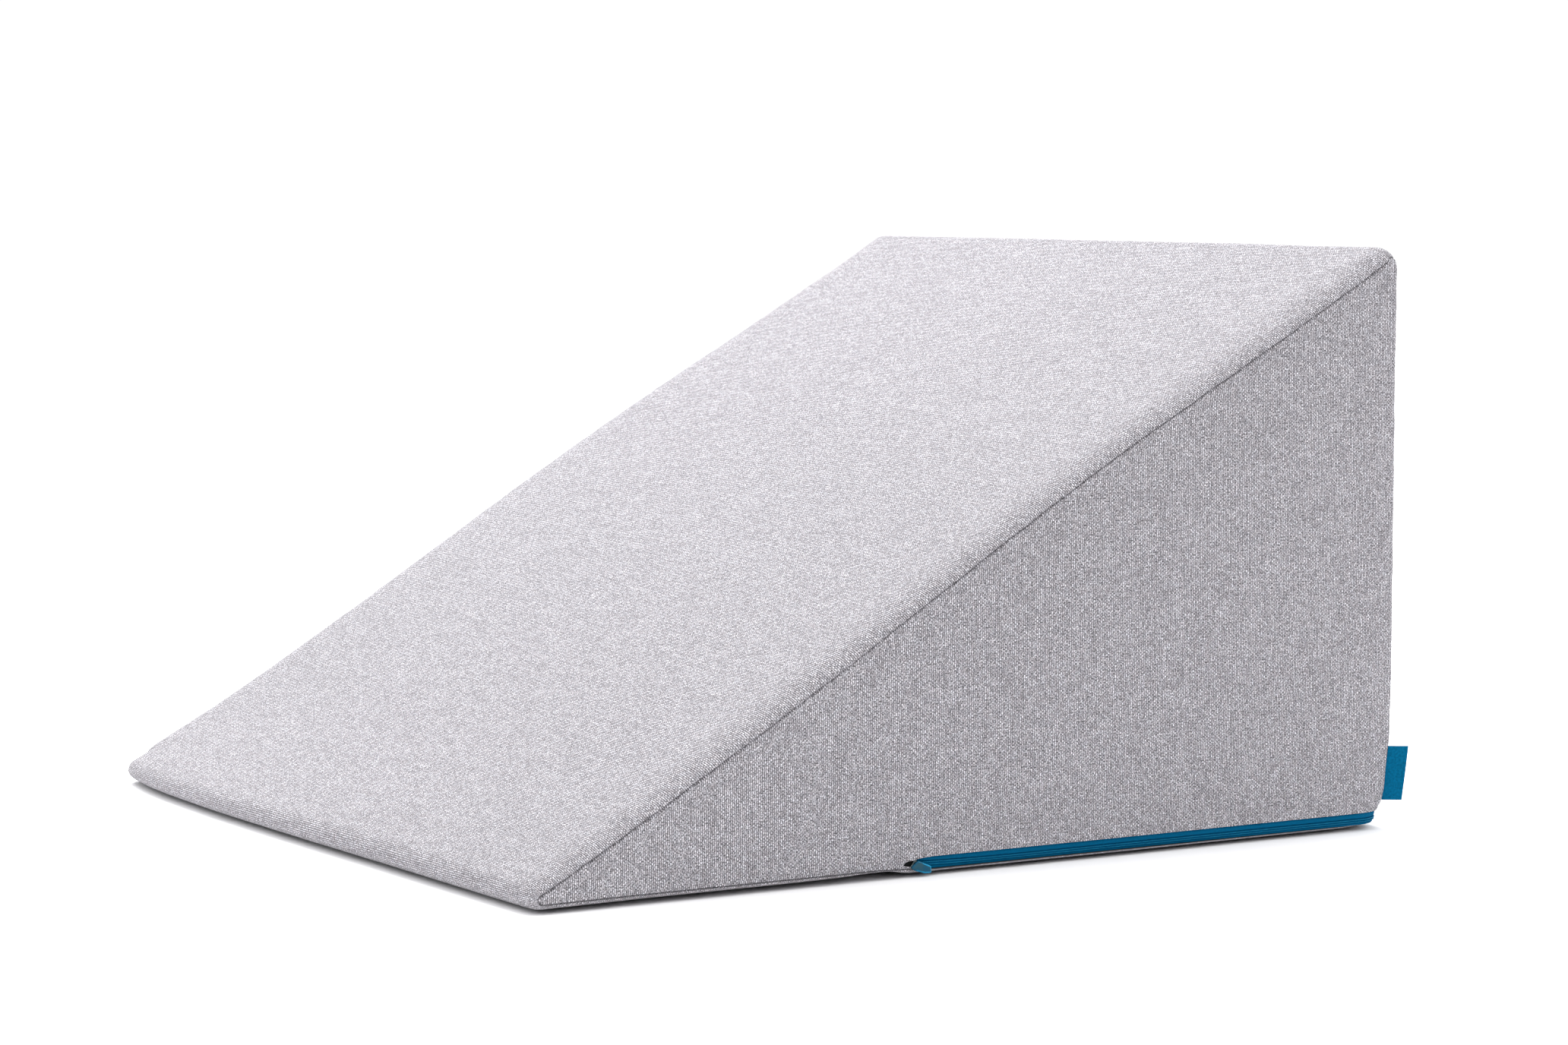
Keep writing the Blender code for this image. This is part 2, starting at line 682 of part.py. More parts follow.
def make_label(material):
    """Woven label folded in half over its outer edge, both ends caught in the seam."""
    ahead = (math.sin(LABEL_TURN), math.cos(LABEL_TURN))
    aside = (ahead[1], -ahead[0])
    outer = LABEL_GAP / 2 + LABEL_LAYER
    inner = LABEL_GAP / 2
    reach = LABEL_REACH
    section = (
        (0.0, -outer),
        (reach - outer, -outer),
        (reach - outer * 0.3, -outer * 0.7),
        (reach, 0.0),
        (reach - outer * 0.3, outer * 0.7),
        (reach - outer, outer),
        (0.0, outer),
        (0.0, inner),
        (reach - outer - inner, inner),
        (reach - outer, 0.0),
        (reach - outer - inner, -inner),
        (0.0, -inner),
    )
    points = []
    for row in range(LABEL_ROWS + 1):
        share = row / LABEL_ROWS
        z = LABEL_BOTTOM + (LABEL_TOP - LABEL_BOTTOM) * share
        low = draw_in_corner(HALF_WIDTH, BACK_Y, LABEL_BOTTOM)
        high = draw_in_corner(HALF_WIDTH, BACK_Y, LABEL_TOP)
        root_x = low[0] + (high[0] - low[0]) * share
        root_y = low[1] + (high[1] - low[1]) * share + LABEL_ROOT_GAP
        for along, across in section:
            curl = LABEL_CURL * (along / reach) ** 2 * math.sin(math.pi * share)
            x = root_x + ahead[0] * along + aside[0] * (across + curl)
            y = root_y + ahead[1] * along + aside[1] * (across + curl)
            points.append((x, y, z))
    count = len(section)
    faces = tube_faces(LABEL_ROWS + 1, count)
    faces.append(tuple(range(count)))
    faces.append(tuple(range(len(points) - count, len(points))))
    return add_object("label", points, faces, material)


def build():
    remove_objects()
    cloth = finish("heather grey cover cloth", CLOTH_GREY, 0.95)
    zip_cloth = finish("teal zip tape", ZIP_TEAL, 0.8)
    make_cushion(cloth)
    make_zip(zip_cloth)
    make_slider(finish("painted zip slider", SLIDER_DARK, 0.45, 0.6))
    make_pull(finish("teal pull tab", PULL_TEAL, 0.4))
    make_label(finish("teal woven label", LABEL_TEAL, 0.75))


build()
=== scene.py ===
"""Looks of the wedge pillow: cover, zip, pull tab, label and studio.

Metres, +Z up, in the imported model's frame.  The thin nose points to -Y, the high
back to +Y, and the zip starts on the +X side.  The file is laid out as an add-on
and is run as a script.
"""

from math import asin, atan2, copysign, cos, hypot, pi, prod, radians, sin

import bmesh
import bpy
import numpy as np
from bpy.props import FloatProperty, FloatVectorProperty, PointerProperty
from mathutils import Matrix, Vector, noise


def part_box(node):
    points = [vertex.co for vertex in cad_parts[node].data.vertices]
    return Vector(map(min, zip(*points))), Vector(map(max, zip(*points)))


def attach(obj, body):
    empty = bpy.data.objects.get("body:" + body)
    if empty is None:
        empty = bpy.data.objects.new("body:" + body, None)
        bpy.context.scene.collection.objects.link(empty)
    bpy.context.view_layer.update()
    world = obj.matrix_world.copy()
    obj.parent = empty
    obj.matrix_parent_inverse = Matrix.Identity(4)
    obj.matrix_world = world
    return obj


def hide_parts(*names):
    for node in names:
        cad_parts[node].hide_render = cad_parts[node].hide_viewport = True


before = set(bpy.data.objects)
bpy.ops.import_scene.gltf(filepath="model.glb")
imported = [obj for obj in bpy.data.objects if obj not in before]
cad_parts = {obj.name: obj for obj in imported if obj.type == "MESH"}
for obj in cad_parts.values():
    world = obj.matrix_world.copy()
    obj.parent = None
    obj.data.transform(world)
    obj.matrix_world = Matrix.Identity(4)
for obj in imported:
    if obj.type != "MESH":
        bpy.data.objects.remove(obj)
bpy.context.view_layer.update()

bl_info = {
    "name": "Wedge pillow",
    "version": (1, 0, 0),
    "blender": (4, 5, 0),
    "location": "View3D > Sidebar > Pillow",
    "description": "Foam wedge in a heather grey cover with a teal zip and a folded label",
    "category": "Object",
}

MM = 0.001
BODY = "root"
CLOTH_MAP = "cloth run"


def table(units, *rows):
    """Rows of numbers, each column in its own unit."""
    return tuple(tuple(value * unit for value, unit in zip(row, units)) for row in rows)


# The frame's own boxes give the sizes of what is dressed here
CUSHION_LOW, CUSHION_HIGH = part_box("cushion")
TAPE_LOW, TAPE_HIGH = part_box("zip_tape")
SLIDER_LOW, SLIDER_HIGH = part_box("zip_slider")
PULL_LOW, PULL_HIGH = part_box("zip_pull")
LABEL_LOW, LABEL_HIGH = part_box("label")

# Filled cover
SIDE_CROWN = 2 * MM
BACK_CROWN = 3 * MM
NOSE_BOW_MOST = 8 * MM
HALF_WIDTH = CUSHION_HIGH[0] - SIDE_CROWN
BACK_Y = CUSHION_HIGH[1] - BACK_CROWN
NOSE_Y = CUSHION_LOW[1] + NOSE_BOW_MOST
HEIGHT = CUSHION_HIGH[2]
NOSE_RADIUS = 6.5 * MM
RIDGE_RADIUS = 6 * MM
HEEL_RADIUS = 3 * MM
LIP_SINK = 0.2 * MM

# The nose edge bows forward, most left of its middle.
# Columns: place across from -1 at the left to 1 at the right, share of the solid's most bow
NOSE_BOW = ((-1.0, 0.25), (-0.8, 1.12), (-0.5, 1.42), (-0.1, 1.16), (0.4, 0.58), (0.8, 0.2), (1.0, 0.0))
NOSE_BOW_REACH = 80 * MM
NOSE_CORNER_RADIUS = (20 * MM, 4 * MM)

# The lower edge stands clear of the floor all round, less under the zip
EDGE_GAP = 2.1 * MM
EDGE_GAP_AT_NOSE = 1.5 * MM
EDGE_GAP_NOSE_RUN = 60 * MM
EDGE_GAP_UNDER_ZIP = 1.2 * MM
EDGE_GAP_FADE = 12 * MM
# The gap keeps its height for this far in from the edge, and has closed by this far in
EDGE_GAP_REACH = (8 * MM, 56 * MM)
EDGE_GAP_TOP = 9 * MM
# In front of the slider the strip under the seam is drawn up behind it.  Columns: y, lift
LIFT = table(
    (MM, MM),
    (-120, 0.0), (-95, 0.2), (-78, 0.7), (-66, 1.7), (-56, 1.9), (-50, 1.2), (-46, 0.2), (-42, 0.0),
)
LIFT_TOP = 2.8 * MM
# Under the zip the lower lip draws back towards the corner
LIP_WIDTH = 16 * MM
LIP_RETREAT = 3 * MM
LIP_RETREAT_FROM_Y = 90 * MM
LIP_TOP = 3.4 * MM

# Stretches of the outline in the YZ plane, in the order in which the panel wraps
BOTTOM, NOSE, SLOPE, RIDGE, BACK, HEEL = range(6)

# How far the long panel rolls over towards the side seam.
# Columns: place on the outline, width of the roll, depth of the roll, share round the corner
ROLL = table(
    (1, MM, MM, 1),
    (BOTTOM + 0.0, 6.0, 1.4, 0.0),
    (BOTTOM + 0.05, 8.0, 2.5, 0.0),
    (BOTTOM + 0.9, 8.0, 2.5, 0.0),
    (NOSE + 0.0, 8.0, 2.6, 0.0),
    (NOSE + 1.0, 12.0, 4.4, 0.0),
    (SLOPE + 0.06, 15.0, 5.0, 0.0),
    (SLOPE + 0.16, 19.0, 5.4, 0.0),
    (SLOPE + 0.32, 20.0, 6.2, 0.0),
    (SLOPE + 0.94, 20.0, 6.9, 0.0),
    (SLOPE + 1.0, 14.0, 6.2, 0.0),
    (RIDGE + 0.5, 11.0, 5.8, 0.0),
    (RIDGE + 1.0, 8.0, 3.6, 0.5),
    (BACK + 0.03, 6.0, 1.1, 1.0),
    (BACK + 0.92, 6.0, 1.1, 1.0),
    (BACK + 0.98, 6.0, 1.1, 0.0),
    (HEEL + 1.0, 6.0, 1.4, 0.0),
)
BACK_SEAM_INSET = 1.6 * MM
HEEL_SEAM_PLACE = BACK + 0.985

# Crown of the slope, square to its plane.
# Columns: share of the slope from nose to ridge, left edge, middle, right edge
SLOPE_CROWN = table(
    (1, MM, MM, MM),
    (0.00, 0.0, 2.6, 1.2),
    (0.12, -1.4, 0.8, 0.6),
    (0.28, -0.4, 1.4, 1.2),
    (0.46, 2.2, 3.6, 3.4),
    (0.64, 3.0, 4.8, 4.9),
    (0.84, 0.6, 2.4, 1.9),
    (1.00, -0.8, 0.0, 0.0),
)

# The upright back corners are drawn in towards the floor.
# Columns: height, corner radius on the zip side, corner radius on the plain side
CORNER_DRAW = table(
    (MM, MM, MM),
    (0, 34.0, 10.0),
    (2.6, 34.0, 10.0),
    (3.2, 19.5, 10.0),
    (10, 19.5, 10.0),
    (14, 12.5, 8.0),
    (21, 9.0, 6.0),
    (49, 3.2, 3.0),
    (80, 1.4, 1.4),
    (300, 1.0, 1.0),
)
ZIP_CORNER_RADIUS = 19.5 * MM

# Soft waves of the cloth.  Columns: turns in a metre, share of the push
WAVES = ((11.0, 0.7), (31.0, 0.3))
WAVE_LOSS_AT_SEAM = 0.6
# The puckers' turns in a metre, and how far from a seam they reach
PUCKER_TURNS = 95.0
PUCKER_REACH = 15 * MM
# Height over the floor at which waves and puckers are at their full size
WAVE_FREE_HEIGHT = 6 * MM

# Width of a wale and length of a stitch, as counted on the photographed side
STITCH_SIZE = (1.08 * MM, 1.72 * MM)
# Painted shade in the gaps between the cloth's stitches and painted highlight on their crests
STITCH_PAINTED_SHADE_AND_HIGHLIGHT = (0.2, 1.4)
# How far a stitch's bead falls towards its sides and its ends: -4 is down to the gap
STITCH_DROPS = (-4.0, -2.4)
# Width and length of the fibres, and brightness of the dark and the light ones
FIBRE_SIZE = (0.45 * MM, 0.8 * MM)
FIBRE_SHADE = (0.25, 1.75)
# Width of the patches from uneven dyeing, and brightness of the dark and the light ones
PATCH_SIZE = 9 * MM
PATCH_SHADE = (0.94, 1.06)
# Single wales are darker or lighter than their neighbours for about 15 stitches, or 25 mm
STREAK_STRETCH = (7.31, 1 / 15, 1.0)
STREAK_SHADE = (0.945, 1.055)
# Width of the clouds of warm and cool fibres
TINT_SIZE = 4 * MM

# Spacing of the cover's points
BOTTOM_STEP = 5 * MM
SLOPE_STEP = 3 * MM
BACK_STEP = 4 * MM
MIDDLE_STEP = 6 * MM
NOSE_COLUMNS = 11
RIDGE_COLUMNS = 11
HEEL_COLUMNS = 5
EDGE_ROWS = (40 * MM, 34 * MM, 29 * MM, 25 * MM, 22 * MM)
BEFORE_ROLL_SHARES = (0.8, 0.6, 0.4, 0.2)
ROLL_ROWS = 13
# Rows on the side panel beside its seam.  Columns: reach from the seam, and at the upright
# back corner the inset from the side and the drop below the back
CORNER_ROWS = table((MM, MM, MM), (1.0, 0.4, 0.4), (3.2, 0.0, 2.2))
# Rings of the side panel, as shares of the way from its seam to its centre at (y, z)
PANEL_SHARES = (0.02, 0.045, 0.08, 0.12, 0.17, 0.23, 0.3, 0.38, 0.47, 0.56, 0.66, 0.76, 0.86, 0.95)
PANEL_CENTRE = (142 * MM, 107 * MM)
SPOKE_STEP = radians(0.004)
SHARP_ANGLE = radians(50)

# Zip, from the CAD tape's own box
ZIP_START_Y = TAPE_LOW[1]
ZIP_END_X = TAPE_LOW[0]
ZIP_TOP = TAPE_HIGH[2] + 0.3 * MM
ZIP_BOTTOM = TAPE_LOW[2] - 0.3 * MM
ZIP_SLANT = 0.18
ZIP_CHANNEL_DEPTH = 3.1 * MM
CUTTER_OVERHANG = 4 * MM
CUTTER_STEP = 4 * MM
CUTTER_PAST_END = 0.6 * MM
# Opening in the seam for the zip, wide and deep where the slider sits; the even channel
# takes over at the last row.  Columns: distance before (-) or after the start of the tape,
# top, bottom, depth
ZIP_MOUTH = table(
    (MM, MM, MM, MM),
    (-7.8, 7.2, 5.9, 1.2),
    (-6.6, 7.8, 5.6, 5.0),
    (-5.2, 8.1, 5.4, 7.5),
    (-2.5, 8.3, 4.6, 7.5),
    (-0.5, 8.8, 3.8, 6.0),
    (2.5, 9.2, 3.1, 4.5),
    (8.0, 9.5, 2.9, 3.4),
)
# Sections of the zip's tape and of the chain under its two stitched ribs.
# Columns: height over the floor, how far it lies behind the side panel's face
TAPE_SECTION = table(
    (MM, MM),
    (9.45, 1.0), (9.1, 0.72), (8.2, 0.55), (7.2, 0.55), (6.6, 0.75), (6.4, 1.35),
    (4.1, 1.35), (3.9, 0.95), (3.4, 0.85), (3.05, 1.1), (3.05, 2.0), (9.45, 2.0),
)
CHAIN_SECTION = table(
    (MM, MM),
    (6.3, 0.95), (6.2, 0.6), (6.0, 0.42), (5.75, 0.38), (5.5, 0.5), (5.28, 0.95), (5.06, 0.5),
    (4.8, 0.38), (4.55, 0.42), (4.3, 0.6), (4.2, 0.95), (4.2, 1.25), (6.3, 1.25),
)
ZIP_STEP = 3 * MM
# The ribs rise towards the slider, over this last run
RIB_RISE = 1.1 * MM
RIB_RISE_RUN = 60 * MM
# The weft ribs of the tape and its warp threads stand this far apart
TAPE_RIB = 0.55 * MM
TAPE_WARP = 0.4 * MM
# Sewn stitches on the ribs' crests.  Columns: height of the row, depth behind the face
SEWN_ROWS = table((MM, MM), (5.82, 0.36), (4.74, 0.36))
SEWN_PITCH = 1.05 * MM
# Length, thickness and width of one
SEWN_SIZE = (0.8 * MM, 0.2 * MM, 0.36 * MM)
SEWN_SIDES = 6
SEWN_LEAN = 0.25
# Columns: place along a stitch from -0.5 to 0.5, share of its full girth
SEWN_SHAPE = ((-0.5, 0.45), (-0.25, 0.95), (0.25, 0.95), (0.5, 0.45))

# Outline of the slider in the mouth of the zip: shares of its length and of half its height
SLIDER_OUTLINE = ((0.0, -0.6), (0.35, -1.0), (1.0, -1.0), (1.0, 1.0), (0.35, 1.0), (0.0, 0.6))
SLIDER_RIM = 0.5 * MM
SLIDER_RISE = 0.3 * MM
EDGE_ROUNDING = 0.08 * MM
# Outline of the hanging tab as the photo shows it, (y, z)
PULL_OUTLINE = table(
    (MM, MM),
    (-40.8, 8.0), (-33.8, 5.1), (-33.3, 4.4), (-33.3, 1.8), (-34.4, 1.5),
    (-37.3, 1.7), (-42.8, 3.3), (-44.5, 4.7), (-43.4, 6.0),
)
PULL_RIM = 0.75 * MM
PULL_RISE = 0.4 * MM
# The bail loops out of the mouth to the tab's root: how far in front of the slider, y, z
BAIL_ROUTE = table(
    (MM, MM, MM),
    (-0.6, -43.5, 4.9),
    (0.7, -43.4, 5.3),
    (1.0, -42.9, 6.9),
    (1.05, -41.8, 8.05),
    (0.8, -40.8, 7.7),
    (-0.4, -40.7, 6.9),
)
BAIL_RADIUS = 0.38 * MM

# Folded label
LABEL_TURN = radians(33)
LABEL_REACH = 10.4 * MM
LABEL_LAYER = 0.4 * MM
LABEL_GAP = 0.5 * MM
LABEL_ROOT_GAP = -0.3 * MM
LABEL_CURL = 0.8 * MM
LABEL_RIPPLE = 0.15 * MM
LABEL_ROWS = 28
LABEL_STEPS = 14
# The label's warp threads and its weft ribs stand this far apart
LABEL_THREADS = (0.5 * MM, 0.35 * MM)

# Camera, solved from the photograph
CAMERA_AZIMUTH = radians(59.40)
CAMERA_ELEVATION = radians(4.87)
CAMERA_PLACE = (1.9133, -1.0991, 0.3394)
AHEAD = (-sin(CAMERA_AZIMUTH), cos(CAMERA_AZIMUTH), 0.0)

# Studio
FLOOR_HALF = 6.0
FLOOR_DROP = 0.2 * MM
WHITE_AHEAD = 1.05
# How far a direction turns ahead, from the dim horizon to the white one
HORIZON_TURN = (0.1, 0.5)
# How steeply a direction rises, from the horizon to the sky
SKY_RISE = (0.14, 0.3)
SOFTBOX_SIZE = 1.0
SOFTBOX_TARGET = (0.0, 0.1, 0.15)

# Settings that several shader nodes share
FLAT = {"noise_dimensions": "2D"}
BLEND = {"data_type": "RGBA"}
TIMES = {"data_type": "RGBA", "blend_type": "MULTIPLY"}


def linear(colour):
    """An sRGB hex colour as linear red, green and blue, and full alpha."""
    channels = []
    for start in (1, 3, 5):
        value = int(colour[start:start + 2], 16) / 255
        channels.append(value / 12.92 if value <= 0.04045 else ((value + 0.055) / 1.055) ** 2.4)
    return (*channels, 1.0)


def feed(tree, node, inputs):
    """Feed a node's inputs, in their order or by name, with values or with what they come from."""
    for name, value in inputs.items() if isinstance(inputs, dict) else enumerate(inputs):
        if isinstance(value, bpy.types.Node):
            value = next(socket for socket in value.outputs if socket.enabled)
        if isinstance(value, bpy.types.NodeSocket):
            tree.links.new(value, node.inputs[name])
        else:
            node.inputs[name].default_value = value


def add(tree, kind, inputs=(), **settings):
    """Add a node with its settings and its inputs.

    A MapRange takes the value, the two ends that it comes from and the two that it goes to.
    """
    node = tree.nodes.new("ShaderNode" + kind)
    for name, value in settings.items():
        setattr(node, name, value)
    feed(tree, node, inputs)
    return node


def new_material(name, values):
    """A material with its Principled shader's uniform values set on the shader's own sockets."""
    material = bpy.data.materials.new(name)
    material.use_nodes = True
    tree = material.node_tree
    shader = tree.nodes["Principled BSDF"]
    feed(tree, shader, values)
    return material, tree, shader


def count_pattern(tree, size):
    """The place on the cloth, and how many widths and lengths of a pattern lie before it."""
    place = add(tree, "UVMap", uv_map=CLOTH_MAP)
    counts = add(tree, "VectorMath", (place, (*size, 1.0)), operation="DIVIDE")
    parts = add(tree, "SeparateXYZ", (counts,))
    return place, parts.outputs["X"], parts.outputs["Y"]


def heather_cloth(colours):
    """Heather polyester jersey, knitted from mixed light and dark yarns.

    Every stitch shows as a small bead, in upright wales whose beads are half a
    stitch apart.  Light and dark fibres in one yarn make it look like fine salt
    and pepper, matt, with a soft bloom at grazing angles.
    """
    material, tree, shader = new_material(
        "heather polyester jersey",
        {"Roughness": 0.93, "Specular IOR Level": 0.25, "Sheen Weight": 0.08, "Sheen Roughness": 0.5},
    )
    # Wales 1.08 mm wide, with stitches 1.72 mm long
    place, across, up = count_pattern(tree, STITCH_SIZE)
    wale = add(tree, "Math", (across,), operation="FLOOR")
    odd = add(tree, "Math", (wale, 2.0), operation="MODULO")
    along = add(tree, "Math", (odd, 0.5, up), operation="MULTIPLY_ADD")
    course = add(tree, "Math", (along,), operation="FLOOR")
    stitch = add(tree, "CombineXYZ", (wale, course))
    chance = add(tree, "TexWhiteNoise", {"Vector": stitch}, **FLAT)

    # Bead: a parabola across the wale times a flatter one along it
    bead = 1.0
    for count, drop in zip((across, along), STITCH_DROPS):
        share = add(tree, "Math", (count,), operation="FRACT")
        centred = add(tree, "Math", (share, 0.5), operation="SUBTRACT")
        square = add(tree, "Math", (centred, 2.0), operation="POWER")
        hump = add(tree, "Math", (square, drop, 1.0), operation="MULTIPLY_ADD")
        bead = add(tree, "Math", (hump, bead), operation="MULTIPLY")

    # Clouds: fibres 0.45 by 0.8 mm, patches 9 mm wide, streaks along single wales, tints 4 mm wide
    lie = add(tree, "VectorMath", (place, (*FIBRE_SIZE, 1.0)), operation="DIVIDE")
    whole = add(tree, "CombineXYZ", (wale, along))
    streaks = add(tree, "VectorMath", (whole, STREAK_STRETCH), operation="MULTIPLY")
    fibre, patch, streak, tint = (
        add(tree, "TexNoise", dict(zip(("Vector", "Scale", "Detail", "Roughness"), cloud)), **FLAT)
        for cloud in (
            (lie, 1.0, 1.0, 0.5),
            (place, 1 / PATCH_SIZE, 4.0, 0.72),
            (streaks, 1.0, 1.0, 0.5),
            (place, 1 / TINT_SIZE, 3.0, 0.7),
        )
    )

    # Painted shade in the gaps between the beads and painted highlight on their crests, varied by the
    # clouds: light and dark fibres inside the yarn are the salt and pepper
    shade = add(tree, "MapRange", (bead, 0.0, 0.8, *STITCH_PAINTED_SHADE_AND_HIGHLIGHT))
    for cloud, dark_and_light in ((fibre, FIBRE_SHADE), (patch, PATCH_SHADE), (streak, STREAK_SHADE)):
        varied = add(tree, "MapRange", (cloud, 0.3, 0.7, *dark_and_light))
        shade = add(tree, "Math", (shade, varied), operation="MULTIPLY")

    # Every stitch takes its own shade of yarn, under faint warm and cool clouds
    colour = shade
    for source, stops in (
        (chance, ((0.1, colours.yarn_dark), (0.5, colours.yarn_middle), (0.9, colours.yarn_light))),
        (tint, ((0.38, colours.tint_cool), (0.62, colours.tint_warm))),
    ):
        ramp = add(tree, "ValToRGB", {"Fac": source})
        elements = ramp.color_ramp.elements
        elements.remove(elements[1])
        elements[0].position = stops[0][0]
        elements[0].color = stops[0][1]
        for position, tone in stops[1:]:
            elements.new(position).color = tone
        colour = add(tree, "Mix", {"Factor": 1.0, "A": ramp, "B": colour}, **TIMES)

    # Stitch relief of 0.3 mm, with loose fibres on it
    height = add(tree, "Math", (fibre, 0.4, bead), operation="MULTIPLY_ADD")
    bump = add(tree, "Bump", {"Strength": 0.8, "Distance": 0.3 * MM, "Height": height})
    feed(tree, shader, {"Base Color": colour, "Normal": bump})
    return material


def read_table(rows, place, column):
    """Values of one column of a table whose first column rises."""
    rows = np.array(rows)
    return np.interp(place, rows[:, 0], rows[:, column])


def read_smoothly(rows, place, column):
    """The same on a curve through the rows, with no corner at a row."""
    rows = np.array(rows)
    keys = rows[:, 0]
    values = rows[:, column]
    slopes = np.gradient(values, keys)
    index = np.clip(np.searchsorted(keys, place) - 1, 0, len(keys) - 2)
    span = keys[index + 1] - keys[index]
    share = np.clip((place - keys[index]) / span, 0.0, 1.0)
    back = 1 - share
    return (
        values[index] * (1 + 2 * share) * back * back
        + slopes[index] * span * share * back * back
        + values[index + 1] * (3 - 2 * share) * share * share
        - slopes[index + 1] * span * back * share * share
    )


def outline(seam_gap, seam_depth):
    """Columns of the wrapping panel, as one array with y, z, outward y, outward z, place and sink.

    The place is the number of the stretch plus the share of it that lies behind.
    The sink is how far the sewn seam between the back and the bottom is drawn in.
    """
    nose = (NOSE_Y + NOSE_RADIUS, NOSE_RADIUS)
    ridge = (BACK_Y - RIDGE_RADIUS, HEIGHT - RIDGE_RADIUS)
    heel = (BACK_Y - HEEL_RADIUS, HEEL_RADIUS)
    rise = atan2(ridge[1] - nose[1], ridge[0] - nose[0])
    span = hypot(ridge[1] - nose[1], ridge[0] - nose[0])
    slope_out = rise - asin((NOSE_RADIUS - RIDGE_RADIUS) / span) + pi / 2
    columns = []

    def add_arc(centre, radius, start, stop, shares, stretch):
        for share in shares:
            out_y = cos(start + (stop - start) * share)
            out_z = sin(start + (stop - start) * share)
            y = centre[0] + radius * out_y
            columns.append((y, centre[1] + radius * out_z, out_y, out_z, stretch + share, 0.0))

    floor_run = heel[0] - nose[0]
    for share in np.linspace(0, 1, round(floor_run / BOTTOM_STEP), endpoint=False):
        columns.append((heel[0] - floor_run * share, 0.0, 0.0, -1.0, BOTTOM + share, 0.0))
    nose_shares = np.linspace(0, 1, NOSE_COLUMNS)
    add_arc(nose, NOSE_RADIUS, -pi / 2, slope_out - 2 * pi, nose_shares, NOSE)
    out_y = cos(slope_out)
    out_z = sin(slope_out)
    foot = (nose[0] + NOSE_RADIUS * out_y, nose[1] + NOSE_RADIUS * out_z)
    head = (ridge[0] + RIDGE_RADIUS * out_y, ridge[1] + RIDGE_RADIUS * out_z)
    for share in np.linspace(0, 1, round(span / SLOPE_STEP), endpoint=False)[1:]:
        y = foot[0] + (head[0] - foot[0]) * share
        z = foot[1] + (head[1] - foot[1]) * share
        columns.append((y, z, out_y, out_z, SLOPE + share, 0.0))
    add_arc(ridge, RIDGE_RADIUS, slope_out, 0.0, np.linspace(0, 1, RIDGE_COLUMNS), RIDGE)
    upper_lip = HEEL_RADIUS + seam_gap
    back_run = ridge[1] - heel[1]
    back_steps = round((ridge[1] - upper_lip) / BACK_STEP)
    for share in np.linspace(0, 1, back_steps, endpoint=False)[1:]:
        z = ridge[1] + (upper_lip - ridge[1]) * share
        columns.append((BACK_Y, z, 1.0, 0.0, BACK + (ridge[1] - z) / back_run, 0.0))
    for z, sink in ((upper_lip, LIP_SINK), (HEEL_RADIUS + seam_gap / 2, seam_depth), (HEEL_RADIUS, LIP_SINK)):
        columns.append((BACK_Y, z, 1.0, 0.0, BACK + 1.0 - MM, sink))
    add_arc(heel, HEEL_RADIUS, 0.0, -pi / 2, np.linspace(0, 1, HEEL_COLUMNS + 2)[1:-1], HEEL)
    return np.array(columns)


def crown(place, across):
    """How far a face of the wrap stands out, across from -1 at the left to 1 at the right."""
    share = np.clip(place - SLOPE, 0, 1)
    left, middle, right = (read_smoothly(SLOPE_CROWN, share, column) for column in (1, 2, 3))
    bend = (left + right) / 2 - middle
    on_slope = middle + (right - left) / 2 * across + bend * across * across
    fade = np.clip(1 - (place - RIDGE), 0, 1) * np.clip(place - NOSE, 0, 1)
    back_share = np.clip(place - BACK, 0, 1)
    on_back = BACK_CROWN * np.sin(pi * back_share) * (1 - across * across)
    return on_slope * fade + on_back


def nose_bow(y, across):
    """How far the nose edge bows forward at a place across."""
    near = np.clip(1 - (y - NOSE_Y) / NOSE_BOW_REACH, 0, None)
    return NOSE_BOW_MOST * read_smoothly(NOSE_BOW, np.array([across]), 1)[0] * near * near


def side_bulge(y, z):
    """Fullness of a side panel, 0 along its three edges and 1 in its middle."""
    from_floor = z / HEIGHT
    from_back = (BACK_Y - y) / (BACK_Y - NOSE_Y)
    from_slope = 1 - from_back - from_floor
    shares = (np.clip(share, 0, None) for share in (from_floor, from_back, from_slope))
    return np.sqrt(np.clip(27 * prod(shares), 0, 1))


def wrap_row(columns, inset, drop, across, hand):
    """One row of the wrap: points at an inset from the side's plane and a drop below the face."""
    y, z, out_y, out_z, place, _ = columns.T
    raised = crown(place, across * hand) - drop
    bow = nose_bow(y, across * hand)
    return np.stack([HALF_WIDTH - inset + 0 * y, y + out_y * raised - bow, z + out_z * raised], axis=1)


